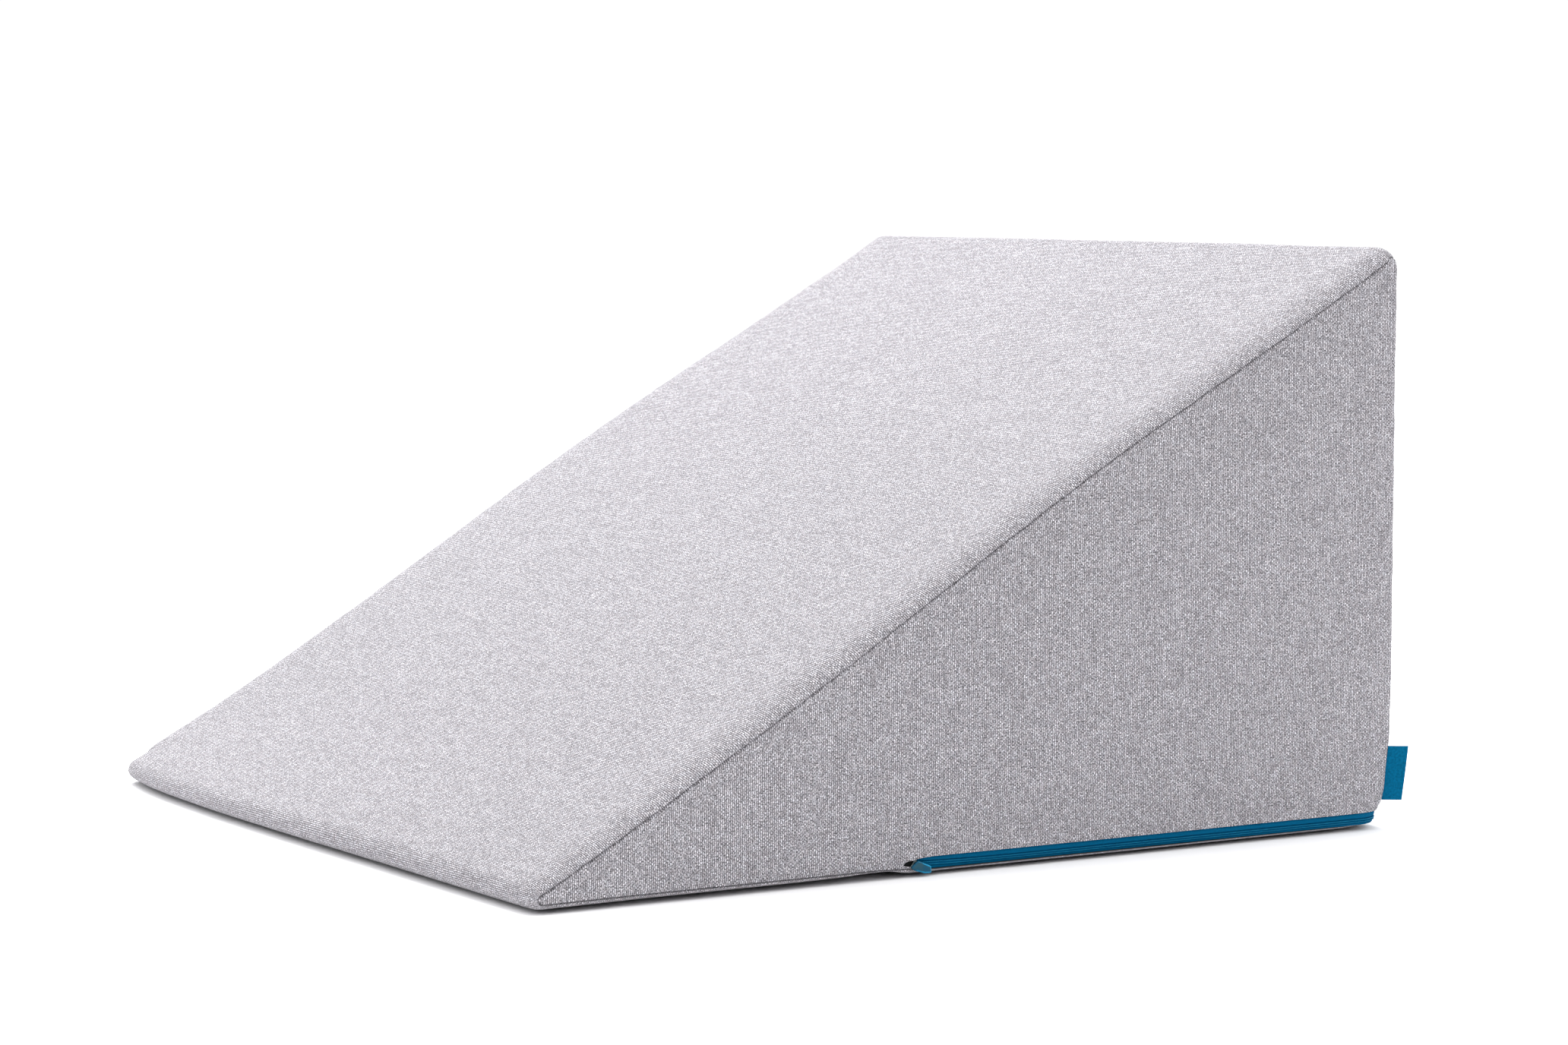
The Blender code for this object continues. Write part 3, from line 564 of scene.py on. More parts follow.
def side_rows(columns, hand, seam_gap, seam_depth):
    """Rows from the edge of the wrap over the side seam to the side's middle, and which is the seam."""
    *_, place, seam_sink = columns.T
    width, depth, turn = (read_table(ROLL, place, column) for column in (1, 2, 3))
    fars = [*EDGE_ROWS, *(width + (EDGE_ROWS[-1] - width) * share for share in BEFORE_ROLL_SHARES)]
    rows = [wrap_row(columns, far, seam_sink, 1 - far / HALF_WIDTH, hand) for far in fars]

    def roll_row(angle, further, sink):
        sinks = np.where(place > HEEL_SEAM_PLACE, min(sink, LIP_SINK), sink)
        side_in = width * (1 - sin(angle)) + sinks
        side_down = depth * (1 - cos(angle)) + further
        back_in = BACK_SEAM_INSET + seam_gap - further + width * (1 - sin(angle))
        inset = side_in + (back_in - side_in) * turn
        drop = side_down + (sinks - side_down) * turn + seam_sink * cos(angle)
        return wrap_row(columns, inset, drop, 1.0, hand)

    quarter = pi / 2
    for angle in np.linspace(0, quarter, ROLL_ROWS):
        rows.append(roll_row(angle, 0.0, 0.0))
    rows.append(roll_row(quarter, seam_gap * 0.2, LIP_SINK))
    rows.append(roll_row(quarter, seam_gap * 0.5, seam_depth))
    seam = len(rows) - 1
    lip = roll_row(quarter, seam_gap, LIP_SINK)
    rows.append(lip)

    away = np.array(PANEL_CENTRE) - lip[:, 1:]
    inward = away / np.linalg.norm(away, axis=1, keepdims=True)
    for reach, corner_inset, corner_down in CORNER_ROWS:
        flat = np.column_stack([0 * place + HALF_WIDTH, lip[:, 1:] + inward * reach])
        corner = wrap_row(columns, corner_inset, corner_down, 1.0, hand)
        rows.append(flat + (corner - flat) * turn[:, None])

    edge = rows.pop()
    from_centre = edge[:, 1:] - np.array(PANEL_CENTRE)
    length = np.hypot(*from_centre.T)
    # No spoke may turn back over the one before it
    spread = SPOKE_STEP * np.arange(len(edge))
    turned = np.unwrap(np.arctan2(from_centre[:, 1], from_centre[:, 0])) + spread
    angle = np.minimum.accumulate(turned) - spread
    for share in (0.0, *PANEL_SHARES):
        inner_y = PANEL_CENTRE[0] + np.cos(angle) * length * (1 - share)
        inner_z = PANEL_CENTRE[1] + np.sin(angle) * length * (1 - share)
        full = HALF_WIDTH + SIDE_CROWN * side_bulge(inner_y, inner_z)
        rows.append(np.stack([full if share else edge[:, 0], inner_y, inner_z], axis=1))
    for row in rows:
        row[:, 0] *= hand
    return rows, seam


def settle(points):
    """Small pulls of the sewn cover: drawn-in corners and the lifted lower edge."""
    x, y, z = points.T.copy()
    at_back = y > 0
    back_radius = np.where(x > 0, read_table(CORNER_DRAW, z, 1), read_table(CORNER_DRAW, z, 2))
    nose_radius = np.where(x > 0, NOSE_CORNER_RADIUS[1], NOSE_CORNER_RADIUS[0])
    radius = np.where(at_back, back_radius, nose_radius)
    along_edge = np.where(at_back, BACK_Y - y, y - NOSE_Y)
    beyond_x = radius - (HALF_WIDTH - np.abs(x))
    beyond_y = radius - along_edge
    inside = (beyond_x > 0) & (beyond_y > 0)
    most = np.maximum(beyond_x, beyond_y)
    shrink = np.where(inside, most / np.maximum(np.hypot(beyond_x, beyond_y), 1e-9), 1.0)
    new_x = np.where(inside, np.copysign(HALF_WIDTH - radius + beyond_x * shrink, x), x)
    new_along = radius - beyond_y * shrink
    new_y = np.where(inside, np.where(at_back, BACK_Y - new_along, NOSE_Y + new_along), y)

    kept, closed = EDGE_GAP_REACH

    def open_share(from_edge):
        share = np.clip((closed - from_edge) / (closed - kept), 0, 1)
        return share * share * (3 - 2 * share)

    from_edge = np.minimum(HALF_WIDTH - np.abs(new_x), np.minimum(BACK_Y - new_y, new_y - NOSE_Y))
    before_start = np.where(new_x > HALF_WIDTH - closed, ZIP_START_Y + ZIP_MOUTH[0][0] - new_y, EDGE_GAP_FADE)
    past_end = np.where(new_y > BACK_Y - closed, ZIP_END_X - new_x, EDGE_GAP_FADE)
    off_zip = np.clip(np.minimum(before_start, past_end) / EDGE_GAP_FADE, 0, 1)
    from_nose = np.clip((new_y - NOSE_Y) / EDGE_GAP_NOSE_RUN, 0, 1)
    height = EDGE_GAP_AT_NOSE + (EDGE_GAP - EDGE_GAP_AT_NOSE) * from_nose
    gap = (EDGE_GAP_UNDER_ZIP + (height - EDGE_GAP_UNDER_ZIP) * off_zip) * open_share(from_edge)
    lift = read_smoothly(LIFT, new_y, 1) * (new_y < LIFT[-1][0]) * (new_y > LIFT[0][0])
    lift = lift * open_share(HALF_WIDTH - new_x) * np.clip(1 - z / LIFT_TOP, 0, None)
    rise = gap * np.clip(1 - z / EDGE_GAP_TOP, 0, None) + lift

    inner = np.clip((new_x - HALF_WIDTH + LIP_WIDTH) / LIP_WIDTH, 0, 1)
    towards_corner = np.clip((new_y - LIP_RETREAT_FROM_Y) / (BACK_Y - LIP_RETREAT_FROM_Y), 0, 1)
    lip = np.clip(1 - z / LIP_TOP, 0, 1) ** 0.5 * inner * towards_corner
    return np.stack([new_x - LIP_RETREAT * lip, new_y, z + rise], axis=1)


def tube_faces(row_count, column_count):
    """Quads between rows of points, each row closed to a ring."""
    faces = []
    for lower in range(0, (row_count - 1) * column_count, column_count):
        upper = lower + column_count
        for column in range(column_count):
            following = (column + 1) % column_count
            faces.append((lower + column, lower + following, upper + following, upper + column))
    return faces


def capped_faces(row_count, column_count):
    """The same, with a face on the first row and on the last."""
    starts = (0, (row_count - 1) * column_count)
    caps = [tuple(range(start, start + column_count)) for start in starts]
    return tube_faces(row_count, column_count) + caps


def link(name, data):
    """An object in the scene for its mesh, curve, light or camera."""
    item = bpy.data.objects.new(name, data)
    bpy.context.scene.collection.objects.link(item)
    return item


def link_mesh(name, points, faces, material):
    """A smooth object from points and faces, its faces pointing out."""
    mesh = bpy.data.meshes.new(name)
    mesh.from_pydata([tuple(point) for point in points], [], faces)
    mesh.validate()
    shape = bmesh.new()
    shape.from_mesh(mesh)
    bmesh.ops.recalc_face_normals(shape, faces=shape.faces)
    shape.to_mesh(mesh)
    shape.free()
    mesh.shade_smooth()
    mesh.materials.append(material)
    return link(name, mesh)


def read_vertices(item, what):
    """The places or the normals of an object's points, as rows."""
    values = np.empty(len(item.data.vertices) * 3)
    item.data.vertices.foreach_get(what, values)
    return values.reshape(-1, 3)


def map_cloth(item, rows, count, seams):
    """UV map in metres: wales run along X on the long panel and upright on the sides."""
    grid = np.array(rows)
    middle = len(rows) // 2
    steps = np.linalg.norm(np.diff(grid, axis=0), axis=2)
    across = np.zeros(grid.shape[:2])
    across[middle + 1:] = np.cumsum(steps[middle:], axis=0)
    across[:middle] = -np.cumsum(steps[:middle][::-1], axis=0)[::-1]
    run = np.concatenate([[0], np.cumsum(np.linalg.norm(np.diff(grid[middle], axis=0), axis=1))])
    last = run[-1] + np.linalg.norm(grid[middle][0] - grid[middle][-1])
    layer = item.data.uv_layers.new(name=CLOTH_MAP)
    values = np.zeros((len(item.data.loops), 2))
    corners = np.empty(len(item.data.loops), dtype=np.int32)
    item.data.loops.foreach_get("vertex_index", corners)
    places = read_vertices(item, "co")
    for face in item.data.polygons:
        loops = np.arange(face.loop_start, face.loop_start + face.loop_total)
        points = corners[loops]
        of_rows = points // count
        if seams[0] <= of_rows.min() and of_rows.max() <= seams[1]:
            runs = run[points % count]
            if runs.max() - runs.min() > last / 2:
                runs = np.where(runs < last / 2, runs + last, runs)
            values[loops, 0] = runs
            values[loops, 1] = across[of_rows, points % count]
        else:
            values[loops] = places[points][:, 1:]
    layer.uv.foreach_set("vector", values.astype(np.float32).ravel())


def map_upright(item, runs):
    """UV map in metres: every point's own run across, and its height up."""
    layer = item.data.uv_layers.new(name=CLOTH_MAP)
    for loop, corner in zip(item.data.loops, layer.uv):
        corner.vector = (runs[loop.vertex_index], item.data.vertices[loop.vertex_index].co.z)


def make_uneven(item, seam_share, most, pucker):
    """Soft waves over the cloth, and short puckers beside the seams; the bottom stays flat."""
    places = read_vertices(item, "co")
    normals = read_vertices(item, "normal")
    vectors = [Vector(place) for place in places]
    wide = np.array([sum(noise.noise(place * turns) * share for turns, share in WAVES) for place in vectors])
    short = np.array([noise.noise(place * PUCKER_TURNS) for place in vectors])
    loose = np.clip((normals[:, 2] + 0.95) * 4, 0, 1) * np.clip(places[:, 2] / WAVE_FREE_HEIGHT, 0, 1)
    push = (wide * most * (1 - WAVE_LOSS_AT_SEAM * seam_share) + short * pucker * seam_share) * loose
    places += normals * push[:, None]
    item.data.vertices.foreach_set("co", places.ravel())
    item.data.update()


def zip_path(step, start_y=ZIP_START_Y, end_x=ZIP_END_X):
    """Stations along the zip in plan: x, y, outward x, outward y, run from its start."""
    radius = ZIP_CORNER_RADIUS
    side_run = BACK_Y - radius - start_y
    corner_run = radius * pi / 2
    whole = side_run + corner_run + HALF_WIDTH - radius - end_x
    stations = []
    for run in np.linspace(0, whole, round(whole / step) + 1):
        angle = np.clip((run - side_run) / radius, 0, pi / 2)
        x = HALF_WIDTH - radius + radius * cos(angle) - max(run - side_run - corner_run, 0.0)
        y = BACK_Y - radius + radius * sin(angle) - max(side_run - run, 0.0)
        stations.append((x, y, cos(angle), sin(angle), run))
    return stations


def sweep(name, stations, sections, material):
    """Solid with a closed section of (height, depth behind the face) at each station."""
    points = [
        (x - out_x * depth, y - out_y * depth, height)
        for (x, y, out_x, out_y, _), section in zip(stations, sections)
        for height, depth in section
    ]
    return link_mesh(name, points, capped_faces(len(stations), len(sections[0])), material)


def channel_section(top, bottom, depth):
    """Section of the cutter, which leans back towards the floor and stands out of the cover."""
    outside = -CUTTER_OVERHANG
    return [(top, outside), (bottom, outside), (bottom, depth + (ZIP_TOP - bottom) * ZIP_SLANT), (top, depth)]


def cut_zip_opening(item, material):
    """Open the seam for the zip, with a deeper mouth at the slider, and keep the result."""
    stations = []
    sections = []
    for distance, top, bottom, depth in ZIP_MOUTH[:-1]:
        stations.append((HALF_WIDTH, ZIP_START_Y + distance, 1.0, 0.0, distance))
        sections.append(channel_section(top, bottom, depth))
    channel = zip_path(CUTTER_STEP, ZIP_START_Y + ZIP_MOUTH[-1][0], ZIP_END_X - CUTTER_PAST_END)
    stations.extend(channel)
    sections.extend([channel_section(ZIP_TOP, ZIP_BOTTOM, ZIP_CHANNEL_DEPTH)] * len(channel))
    cutter = sweep("zip_opening_cutter", stations, sections, material)
    opening = item.modifiers.new("zip opening", "BOOLEAN")
    opening.operation = "DIFFERENCE"
    opening.solver = "MANIFOLD"
    opening.object = cutter
    shape = item.evaluated_get(bpy.context.evaluated_depsgraph_get())
    mesh = bpy.data.meshes.new_from_object(shape)
    item.modifiers.clear()
    item.data = mesh
    bpy.data.objects.remove(cutter, do_unlink=True)


def make_cover(settings):
    """The filled cover as one crowned form with its seams drawn in."""
    material = heather_cloth(settings)
    valley = (settings.seam_gap, settings.seam_depth)
    columns = outline(*valley)
    left, seam = side_rows(columns, -1, *valley)
    right, _ = side_rows(columns, 1, *valley)
    inner = HALF_WIDTH - EDGE_ROWS[0]
    middle = []
    for x in np.linspace(-inner, inner, round(2 * inner / MIDDLE_STEP) // 2 * 2 + 1)[1:-1]:
        hand = copysign(1, x)
        row = wrap_row(columns, HALF_WIDTH - abs(x), columns[:, 5], abs(x) / HALF_WIDTH, hand)
        row[:, 0] *= hand
        middle.append(row)
    rows = [settle(row) for row in (*reversed(left), *middle, *right)]
    seams = (len(left) - 1 - seam, len(left) + len(middle) + seam)

    count = len(columns)
    faces = tube_faces(len(rows), count)
    points = [point for row in rows for point in row]
    bulge = HALF_WIDTH + SIDE_CROWN * side_bulge(*PANEL_CENTRE)
    for hand, first in ((-1, 0), (1, (len(rows) - 1) * count)):
        points.append((hand * bulge, *PANEL_CENTRE))
        for column in range(count):
            faces.append((first + column, first + (column + 1) % count, len(points) - 1))
    cover = link_mesh("cushion_cover", points, faces, material)
    map_cloth(cover, rows, count, seams)

    # Nearness to a seam, 1 on it and 0 where the puckers end
    grid = np.array(rows)
    near = np.zeros(grid.shape[:2])
    for line in seams:
        distance = np.linalg.norm(grid - grid[line][None], axis=2)
        near = np.maximum(near, np.clip(1 - distance / PUCKER_REACH, 0, 1))
    make_uneven(cover, np.concatenate([near.ravel(), [0.0, 0.0]]), settings.unevenness, settings.pucker)
    cut_zip_opening(cover, material)
    cover.data.set_sharp_from_angle(angle=SHARP_ANGLE)
    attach(cover, BODY)
    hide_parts("cushion")


def placed(section, run):
    """A section at its run along the zip: it leans back to the floor and its ribs rise to the slider."""
    rise = RIB_RISE * max(0.0, 1 - run / RIB_RISE_RUN) ** 2
    pairs = []
    for height, depth in section:
        height += rise * sin(pi * (height - ZIP_BOTTOM) / (ZIP_TOP - ZIP_BOTTOM))
        pairs.append((height, depth + (ZIP_TOP - height) * ZIP_SLANT))
    return pairs


def zip_weave(name, colour, light, rib, bump_height):
    """Woven polyester zip tape, dyed teal, with fine ribs across its run and a dull sheen."""
    material, tree, shader = new_material(name, {"Roughness": 0.85, "Specular IOR Level": 0.05})
    # Weft ribs at their pitch along the run, 0.55 mm on the tape, over warp threads 0.4 mm apart
    place, *counts = count_pattern(tree, (rib, TAPE_WARP))
    relief = 1.0
    for count in counts:
        turns = add(tree, "Math", (count, 2 * pi), operation="MULTIPLY")
        wave = add(tree, "Math", (turns,), operation="SINE")
        relief = add(tree, "Math", (relief, wave), operation="MULTIPLY")
    # Flecks 0.9 mm wide
    fleck = add(tree, "TexNoise", {"Vector": place, "Scale": 1 / (0.9 * MM), "Detail": 2.0}, **FLAT)
    height = add(tree, "Math", (relief, fleck), operation="ADD")
    # Colour follows the height: painted shade between the threads, painted highlight on their tops, and
    # flecks
    share = add(tree, "MapRange", (height, -0.5, 1.5))
    tone = add(tree, "Mix", {"Factor": share, "A": colour, "B": light}, **BLEND)
    bump = add(tree, "Bump", {"Strength": 0.7, "Distance": bump_height, "Height": height})
    feed(tree, shader, {"Base Color": tone, "Normal": bump})
    return material


def spun_thread(colour):
    """Twisted polyester sewing thread: brighter than the tape, with a soft shine on every stitch."""
    material, tree, shader = new_material("teal sewing thread", {"Roughness": 0.6, "Specular IOR Level": 0.2})
    place = add(tree, "TexCoord").outputs["Object"]
    # Light and dark lengths of 1.3 mm
    twist = add(tree, "TexNoise", {"Vector": place, "Scale": 1 / (1.3 * MM), "Detail": 1.0})
    shade = add(tree, "MapRange", (twist, 0.3, 0.7, 0.55))
    tone = add(tree, "Mix", {"Factor": 1.0, "A": colour, "B": shade}, **TIMES)
    feed(tree, shader, {"Base Color": tone})
    return material


def cast_paint(name, colour, worn, roughness, root_shift):
    """Zinc die-casting under baked enamel: smooth and satin, with rubbed clouds of a second colour.

    On the tab's face the clouds are paler and greyer where hands rub it; on the tab's rim and on
    the bail the first colour is a painted highlight, and the clouds break it up.
    """
    material, tree, shader = new_material(name, {"Roughness": roughness, "Specular IOR Level": 0.2})
    place = add(tree, "TexCoord").outputs["Object"]
    # Rubbed clouds of 4 mm, more of them towards the root of the pull tab
    rubbed = add(tree, "TexNoise", {"Vector": place, "Scale": 1 / (4 * MM), "Detail": 3.0})
    parts = add(tree, "SeparateXYZ", (place,))
    reach = (parts.outputs["Y"], PULL_LOW[1], PULL_HIGH[1], root_shift, -root_shift)
    towards_root = add(tree, "MapRange", reach)
    amount = add(tree, "Math", (rubbed, towards_root), operation="ADD")
    share = add(tree, "MapRange", (amount, 0.4, 0.7))
    # Second colour in the clouds: wear on the tab's face, dark enamel breaking the painted highlight on rim
    # and bail
    tone = add(tree, "Mix", {"Factor": share, "A": colour, "B": worn}, **BLEND)
    # Casting grain of 0.8 mm
    grain = add(tree, "TexNoise", {"Vector": place, "Scale": 1 / (0.8 * MM), "Detail": 2.0})
    bump = add(tree, "Bump", {"Strength": 0.3, "Distance": 0.05 * MM, "Height": grain})
    feed(tree, shader, {"Base Color": tone, "Normal": bump})
    return material


def make_stitches(material):
    """Two rows of short stitches on the ribs of the zip, as one joined mesh."""
    length, thickness, width = SEWN_SIZE
    bead = []
    for share, girth in SEWN_SHAPE:
        for angle in np.linspace(0, 2 * pi, SEWN_SIDES, endpoint=False):
            out = cos(angle) * thickness * girth
            up = sin(angle) * width / 2 * girth
            bead.append((length * share, out, up + length * share * SEWN_LEAN))
    bead_faces = capped_faces(len(SEWN_SHAPE), SEWN_SIDES)
    points = []
    faces = []
    for x, y, out_x, out_y, run in zip_path(SEWN_PITCH)[1:-1]:
        for height, depth in placed(SEWN_ROWS, run):
            first = len(points)
            for along, out, up in bead:
                beyond = out - depth
                place = (x - out_y * along + out_x * beyond, y + out_x * along + out_y * beyond, height + up)
                points.append(place)
            faces.extend(tuple(first + corner for corner in face) for face in bead_faces)
    return link_mesh("zip_stitches", points, faces, material)


def make_zip(colours):
    """Woven tape, the chain under its two ribs, and the stitches on them."""
    stations = zip_path(ZIP_STEP)
    tape_weave = zip_weave("woven zip tape", colours.tape_shade, colours.tape_highlight, TAPE_RIB, 0.12 * MM)
    rib_weave = zip_weave("ribbed zip chain", colours.rib_shade, colours.tape_highlight, SEWN_PITCH, 0.2 * MM)
    for name, section, weave, node in (
        ("zip_tape_cloth", TAPE_SECTION, tape_weave, "zip_tape"),
        ("zip_chain_ribs", CHAIN_SECTION, rib_weave, "zip_chain"),
    ):
        piece = sweep(name, stations, [placed(section, station[4]) for station in stations], weave)
        map_upright(piece, [station[4] for station in stations for _ in section])
        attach(piece, BODY)
        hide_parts(node)
    stitches = make_stitches(spun_thread(colours.thread))
    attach(stitches, BODY)


def plate(name, corners, low, high, material, rim_material, rim, rise):
    """Flat plate with an outline of (y, z) pairs between two x, its face raised inside a sloping rim."""
    count = len(corners)
    points = [(low, y, z) for y, z in corners] + [(high - rise, y, z) for y, z in corners]
    item = link_mesh(name, points, capped_faces(2, count), material)
    shape = bmesh.new()
    shape.from_mesh(item.data)
    outer = max(shape.faces, key=lambda face: face.calc_center_median().x)
    bmesh.ops.inset_region(shape, faces=[outer], thickness=rim, depth=rise)
    for face in shape.faces:
        face.material_index = 0 if face == outer else 1
    shape.to_mesh(item.data)
    shape.free()
    item.data.materials.append(rim_material)
    item.data.shade_flat()
    edge = item.modifiers.new("rounded edges", "BEVEL")
    edge.width = EDGE_ROUNDING
    edge.segments = 2
    edge.limit_method = "ANGLE"
    edge.angle_limit = radians(15)
    return item


def make_bail(material):
    """The wire loop that holds the tab."""
    bail = bpy.data.curves.new("slider_bail", "CURVE")
    bail.dimensions = "3D"
    bail.bevel_depth = BAIL_RADIUS
    bail.bevel_resolution = 3
    bail.use_fill_caps = True
    route = bail.splines.new("NURBS")
    route.points.add(len(BAIL_ROUTE) - 1)
    for point, (beyond, y, z) in zip(route.points, BAIL_ROUTE):
        point.co = (SLIDER_HIGH[0] + beyond, y, z, 1.0)
    route.use_endpoint_u = True
    bail.materials.append(material)
    return link("slider_bail", bail)


def make_slider(colours):
    """Slider body with its bail, and the flared tab with cut corners that hangs from it."""
    # The slider's dark enamel is darkened to near-black as painted shade of the zip's mouth
    enamel = cast_paint("enamelled zinc slider", colours.slider, colours.slider, 0.6, 0.0)
    # The bail's light grey is a painted highlight, broken up by clouds of the slider's dark enamel
    rubbed = cast_paint("enamel on the bail with painted highlight", colours.bail_highlight, colours.slider, 0.4, -0.1)
    face = cast_paint("enamelled pull tab", colours.pull, colours.pull_worn, 0.42, 0.12)
    # The tab's rim and sides take a brighter copy of the face's enamel as a painted highlight
    edge = cast_paint("enamel on the tab's rim with painted highlight", colours.pull_rim_highlight, colours.pull, 0.35, 0.3)
    low, high = SLIDER_LOW, SLIDER_HIGH
    middle = (low[2] + high[2]) / 2
    half = (high[2] - low[2]) / 2
    corners = [(low[1] + (high[1] - low[1]) * along, middle + half * up) for along, up in SLIDER_OUTLINE]
    body = plate("slider_body", corners, low[0], high[0], enamel, enamel, SLIDER_RIM, SLIDER_RISE)
    bail = make_bail(rubbed)
    pull = plate("pull_tab", PULL_OUTLINE, PULL_LOW[0], PULL_HIGH[0], face, edge, PULL_RIM, PULL_RISE)
    for piece, slot in ((body, "slider"), (bail, "slider"), (pull, "pull_tab")):
        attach(piece, BODY)
    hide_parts("zip_slider")
    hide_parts("zip_pull")


def label_weave(colour, light):
    """Woven damask label, dyed teal: a tight satin face with fine cross ribs and a faint shine."""
    values = {"Roughness": 0.7, "Specular IOR Level": 0.05}
    material, tree, shader = new_material("woven damask label", values)
    # Weft ribs of 0.35 mm up the label, crossed by warp threads of 0.5 mm
    place, *counts = count_pattern(tree, LABEL_THREADS)
    warp, weft = (add(tree, "Math", (count, 0.5), operation="PINGPONG") for count in counts)
    relief = add(tree, "Math", (warp, 0.4, weft), operation="MULTIPLY_ADD")
    # Clouds 1.2 mm wide
    cloud = add(tree, "TexNoise", {"Vector": place, "Scale": 1 / (1.2 * MM), "Detail": 3.0}, **FLAT)
    # Colour follows relief and clouds: painted shade in the low places, painted highlight on the raised
    # threads
    share = add(tree, "Math", (relief, 0.5, cloud), operation="MULTIPLY_ADD")
    limited = add(tree, "MapRange", (share, 0.35, 1.05))
    tone = add(tree, "Mix", {"Factor": limited, "A": colour, "B": light}, **BLEND)
    bump = add(tree, "Bump", {"Strength": 0.6, "Distance": 0.08 * MM, "Height": relief})
    feed(tree, shader, {"Base Color": tone, "Normal": bump})
    return material


def label_section():
    """Closed section of the folded label: distance from the root and distance to the side."""
    inner = LABEL_GAP / 2
    outer = LABEL_GAP / 2 + LABEL_LAYER
    fold = LABEL_REACH - outer
    runs = [share * fold for share in np.linspace(0, 1, LABEL_STEPS, endpoint=False)]

    def half_turn(radius, count):
        angles = np.linspace(-pi / 2, pi / 2, count)
        return [(fold + radius * cos(angle), radius * sin(angle)) for angle in angles]

    return [
        *((run, -outer) for run in runs),
        *half_turn(outer, 9),
        *((run, outer) for run in reversed(runs)),
        *((run, inner) for run in runs),
        *reversed(half_turn(inner, 7)),
        *((run, -inner) for run in reversed(runs)),
    ]


def make_label(colours):
    """Label folded in half over its outer edge, both ends caught in the upright seam; its face is bare."""
    ahead = Vector((sin(LABEL_TURN), cos(LABEL_TURN), 0.0))
    aside = Vector((ahead.y, -ahead.x, 0.0))
    roots = []
    for z in (LABEL_LOW[2], LABEL_HIGH[2]):
        corner = settle(np.array([[HALF_WIDTH, BACK_Y, z]]))[0]
        roots.append(Vector((corner[0], corner[1] + LABEL_ROOT_GAP, z)))
    section = label_section()
    points = []
    for share in np.linspace(0, 1, LABEL_ROWS):
        root = roots[0].lerp(roots[1], share)
        for along, across in section:
            reach = along / LABEL_REACH
            curl = LABEL_CURL * reach ** 2 * sin(pi * share)
            ripple = LABEL_RIPPLE * sin(reach * 3.0 + share * 7.0) * reach
            points.append(root + ahead * along + aside * (across + curl + ripple))
    weave = label_weave(colours.label, colours.label_highlight)
    label = link_mesh("folded_label", points, capped_faces(LABEL_ROWS, len(section)), weave)
    map_upright(label, [along for along, _ in section] * LABEL_ROWS)
    label.data.set_sharp_from_angle(angle=SHARP_ANGLE)
    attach(label, BODY)
    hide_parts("label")


def look_along(item, way):
    """Turn a light or a camera so that it looks along a direction."""
    item.rotation_euler = way.to_track_quat("-Z", "Y").to_euler()


def add_softbox(name, place, power):
    """A square softbox that looks at the pillow."""
    light = bpy.data.lights.new(name, "AREA")
    light.size = SOFTBOX_SIZE
    light.energy = power
    item = link(name, light)
    item.location = place
    look_along(item, Vector(SOFTBOX_TARGET) - item.location)


def make_camera(lens):
    """Camera at the photo's place and angle."""
    data = bpy.data.cameras.new("camera")
    data.lens = lens
    camera = link("camera", data)
    camera.location = CAMERA_PLACE
    level = cos(CAMERA_ELEVATION)
    look_along(camera, Vector((AHEAD[0] * level, AHEAD[1] * level, -sin(CAMERA_ELEVATION))))
    bpy.context.scene.camera = camera


def make_stage(settings):
    """White floor, even white surround, softboxes and the camera."""
    scene = bpy.context.scene
    make_camera(settings.lens)
    scene.view_settings.view_transform = "Standard"
    scene.view_settings.look = "None"

    # Matt white paper, so the pillow stands in an even white
    paper, _, _ = new_material(
        "matt white paper floor", {"Base Color": linear("#F7F7F8"), "Roughness": 0.9}
    )
    half = FLOOR_HALF
    corners = [(-half, -half, 0.0), (half, -half, 0.0), (half, half, 0.0), (-half, half, 0.0)]
    floor = link_mesh("floor", corners, [(0, 1, 2, 3)], paper)
    floor.location.z = -FLOOR_DROP

    world = bpy.data.worlds.new("white studio")
    world.use_nodes = True
    scene.world = world
    tree = world.node_tree
    # White horizon ahead of the camera, a dim one behind it, and an even sky overhead
    way = add(tree, "TexCoord").outputs["Generated"]
    ahead = add(tree, "VectorMath", (way, AHEAD), operation="DOT_PRODUCT")
    parts = add(tree, "SeparateXYZ", (way,))
    strength = settings.horizon
    for value, turn, most in (
        (ahead.outputs["Value"], HORIZON_TURN, WHITE_AHEAD),
        (parts.outputs["Z"], SKY_RISE, settings.sky),
    ):
        strength = add(tree, "MapRange", (value, *turn, strength, most))
    feed(tree, tree.nodes["Background"], {"Color": (1.0, 1.0, 1.0, 1.0), "Strength": strength})

    add_softbox("side softbox", (-2.0, 0.2, 1.3), settings.side_power)
    add_softbox("key softbox", (0.0, 0.3, 1.6), settings.key_power)


def colour_setting(name, description, colour):
    """A colour among the settings."""
    default = linear(colour)
    return FloatVectorProperty(name=name, description=description, subtype="COLOR", size=4, default=default)


def number_setting(name, description, number, unit="NONE"):
    """A number among the settings."""
    return FloatProperty(name=name, description=description, default=number, unit=unit)


class PillowCover(bpy.types.PropertyGroup):
    """Sizes and yarn colours of the sewn cover."""

    seam_gap: number_setting("Seam gap", "Width of the seams' valley", 1.4 * MM, "LENGTH")
    seam_depth: number_setting("Seam depth", "Depth of the seams' valley", 1.6 * MM, "LENGTH")
    unevenness: number_setting("Unevenness", "Height of the cloth's soft waves", 0.5 * MM, "LENGTH")
    pucker: number_setting("Pucker", "Height of the puckers beside the seams", 0.45 * MM, "LENGTH")
    yarn_light: colour_setting("Light yarn", "Colour of the lightest stitches", "#AAA9AD")
    yarn_middle: colour_setting("Middle yarn", "Colour of most stitches", "#9D9B9F")
    yarn_dark: colour_setting("Dark yarn", "Colour of the darkest stitches", "#8D8B8F")
    tint_cool: colour_setting("Cool tint", "Tint of the cool clouds", "#FCFCFF")
    tint_warm: colour_setting("Warm tint", "Tint of the warm clouds", "#FFFCFD")


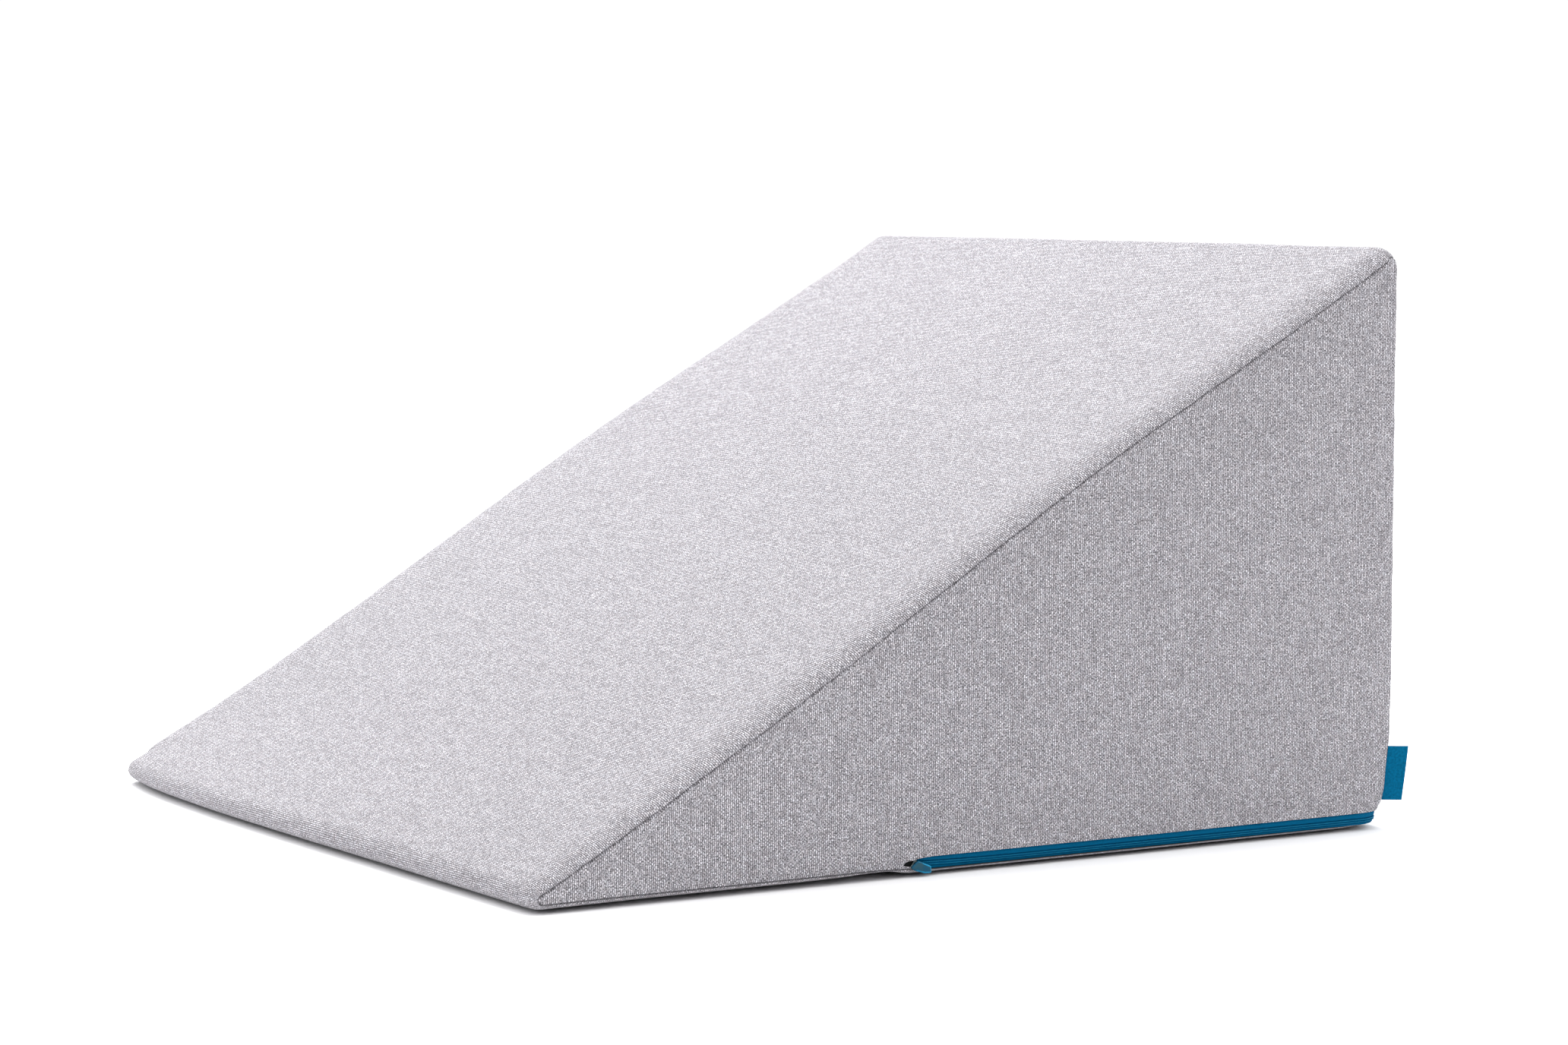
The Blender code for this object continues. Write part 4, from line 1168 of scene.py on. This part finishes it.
class PillowTrim(bpy.types.PropertyGroup):
    """Colours of the zip, its slider and tab, and the label."""

    # Painted shade between the zip's threads and painted highlight on their tops
    tape_shade: colour_setting("Tape, painted shade", "Painted shade between the tape's threads", "#024967")
    tape_highlight: colour_setting("Tape, painted highlight", "Painted highlight on the tape's threads", "#0378AB")
    rib_shade: colour_setting("Ribs, painted shade", "Painted shade between the ribs' threads", "#01263A")
    thread: colour_setting("Thread", "Colour of the stitches on the ribs", "#178FBC")
    slider: colour_setting("Slider", "Colour of the slider's enamel, darkened as painted shade", "#020506")
    bail_highlight: colour_setting("Bail, painted highlight", "Painted highlight on the bail", "#8A9A9E")
    pull: colour_setting("Pull tab", "Colour of the pull tab's face", "#0B4C66")
    pull_worn: colour_setting("Pull tab, worn", "Colour where the face is rubbed", "#2A4F5C")
    pull_rim_highlight: colour_setting("Pull tab, rim highlight", "Painted highlight on the tab's bevelled rim", "#0A88B4")
    # The label's own teal, with painted shade in its low places and painted highlight on its raised threads
    label: colour_setting("Label", "Colour of the label's weave", "#004F72")
    label_highlight: colour_setting("Label, painted highlight", "Painted highlight on the label's raised threads", "#006C96")


class PillowStage(bpy.types.PropertyGroup):
    """Camera and lights."""

    lens: number_setting("Lens", "Focal length in millimetres on a 36 mm sensor", 94.92)
    side_power: number_setting("Side light", "Power of the softbox on the left", 46.5, "POWER")
    key_power: number_setting("Key light", "Power of the softbox over the slope", 12.0, "POWER")
    sky: number_setting("Sky", "Strength of the light from overhead", 1.5)
    horizon: number_setting("Horizon", "Strength of the low light behind the camera", 0.05)


class PILLOW_OT_stage(bpy.types.Operator):
    """Set the floor, the backdrop, the lights and the camera"""

    bl_idname = "pillow.stage"
    bl_label = "Stage"

    def execute(self, context):
        make_stage(context.scene.pillow_stage)
        return {"FINISHED"}


class PILLOW_OT_cover(bpy.types.Operator):
    """Make the filled cover with its seams and zip opening"""

    bl_idname = "pillow.cover"
    bl_label = "Cover"

    def execute(self, context):
        make_cover(context.scene.pillow_cover)
        return {"FINISHED"}


class PILLOW_OT_zip(bpy.types.Operator):
    """Make the zip's tape, chain and stitches"""

    bl_idname = "pillow.zip"
    bl_label = "Zip"

    def execute(self, context):
        make_zip(context.scene.pillow_trim)
        return {"FINISHED"}


class PILLOW_OT_slider(bpy.types.Operator):
    """Make the slider and its pull tab"""

    bl_idname = "pillow.slider"
    bl_label = "Slider"

    def execute(self, context):
        make_slider(context.scene.pillow_trim)
        return {"FINISHED"}


class PILLOW_OT_label(bpy.types.Operator):
    """Make the folded label"""

    bl_idname = "pillow.label"
    bl_label = "Label"

    def execute(self, context):
        make_label(context.scene.pillow_trim)
        return {"FINISHED"}


class PILLOW_PT_panel(bpy.types.Panel):
    """Lists the pieces of the pillow"""

    bl_idname = "PILLOW_PT_panel"
    bl_label = "Wedge pillow"
    bl_space_type = "VIEW_3D"
    bl_region_type = "UI"
    bl_category = "Pillow"

    def draw(self, context):
        for settings, operators in PANEL_ROWS:
            box = self.layout.box()
            group = getattr(context.scene, settings)
            for name in group.bl_rna.properties.keys():
                if name not in {"rna_type", "name"}:
                    box.prop(group, name)
            for operator in operators:
                box.operator(operator)


GROUPS = {"pillow_stage": PillowStage, "pillow_cover": PillowCover, "pillow_trim": PillowTrim}
OPERATORS = (PILLOW_OT_stage, PILLOW_OT_cover, PILLOW_OT_zip, PILLOW_OT_slider, PILLOW_OT_label)
PANEL_ROWS = (
    ("pillow_stage", ("pillow.stage",)),
    ("pillow_cover", ("pillow.cover",)),
    ("pillow_trim", ("pillow.zip", "pillow.slider", "pillow.label")),
)
CLASSES = (*GROUPS.values(), *OPERATORS, PILLOW_PT_panel)


def register():
    for item in CLASSES:
        bpy.utils.register_class(item)
    for name, group in GROUPS.items():
        setattr(bpy.types.Scene, name, PointerProperty(type=group))


def unregister():
    for name in GROUPS:
        delattr(bpy.types.Scene, name)
    for item in reversed(CLASSES):
        bpy.utils.unregister_class(item)


def main():
    register()
    bpy.ops.pillow.stage()
    bpy.ops.pillow.cover()
    bpy.ops.pillow.zip()
    bpy.ops.pillow.slider()
    bpy.ops.pillow.label()


if __name__ == "__main__":
    main()
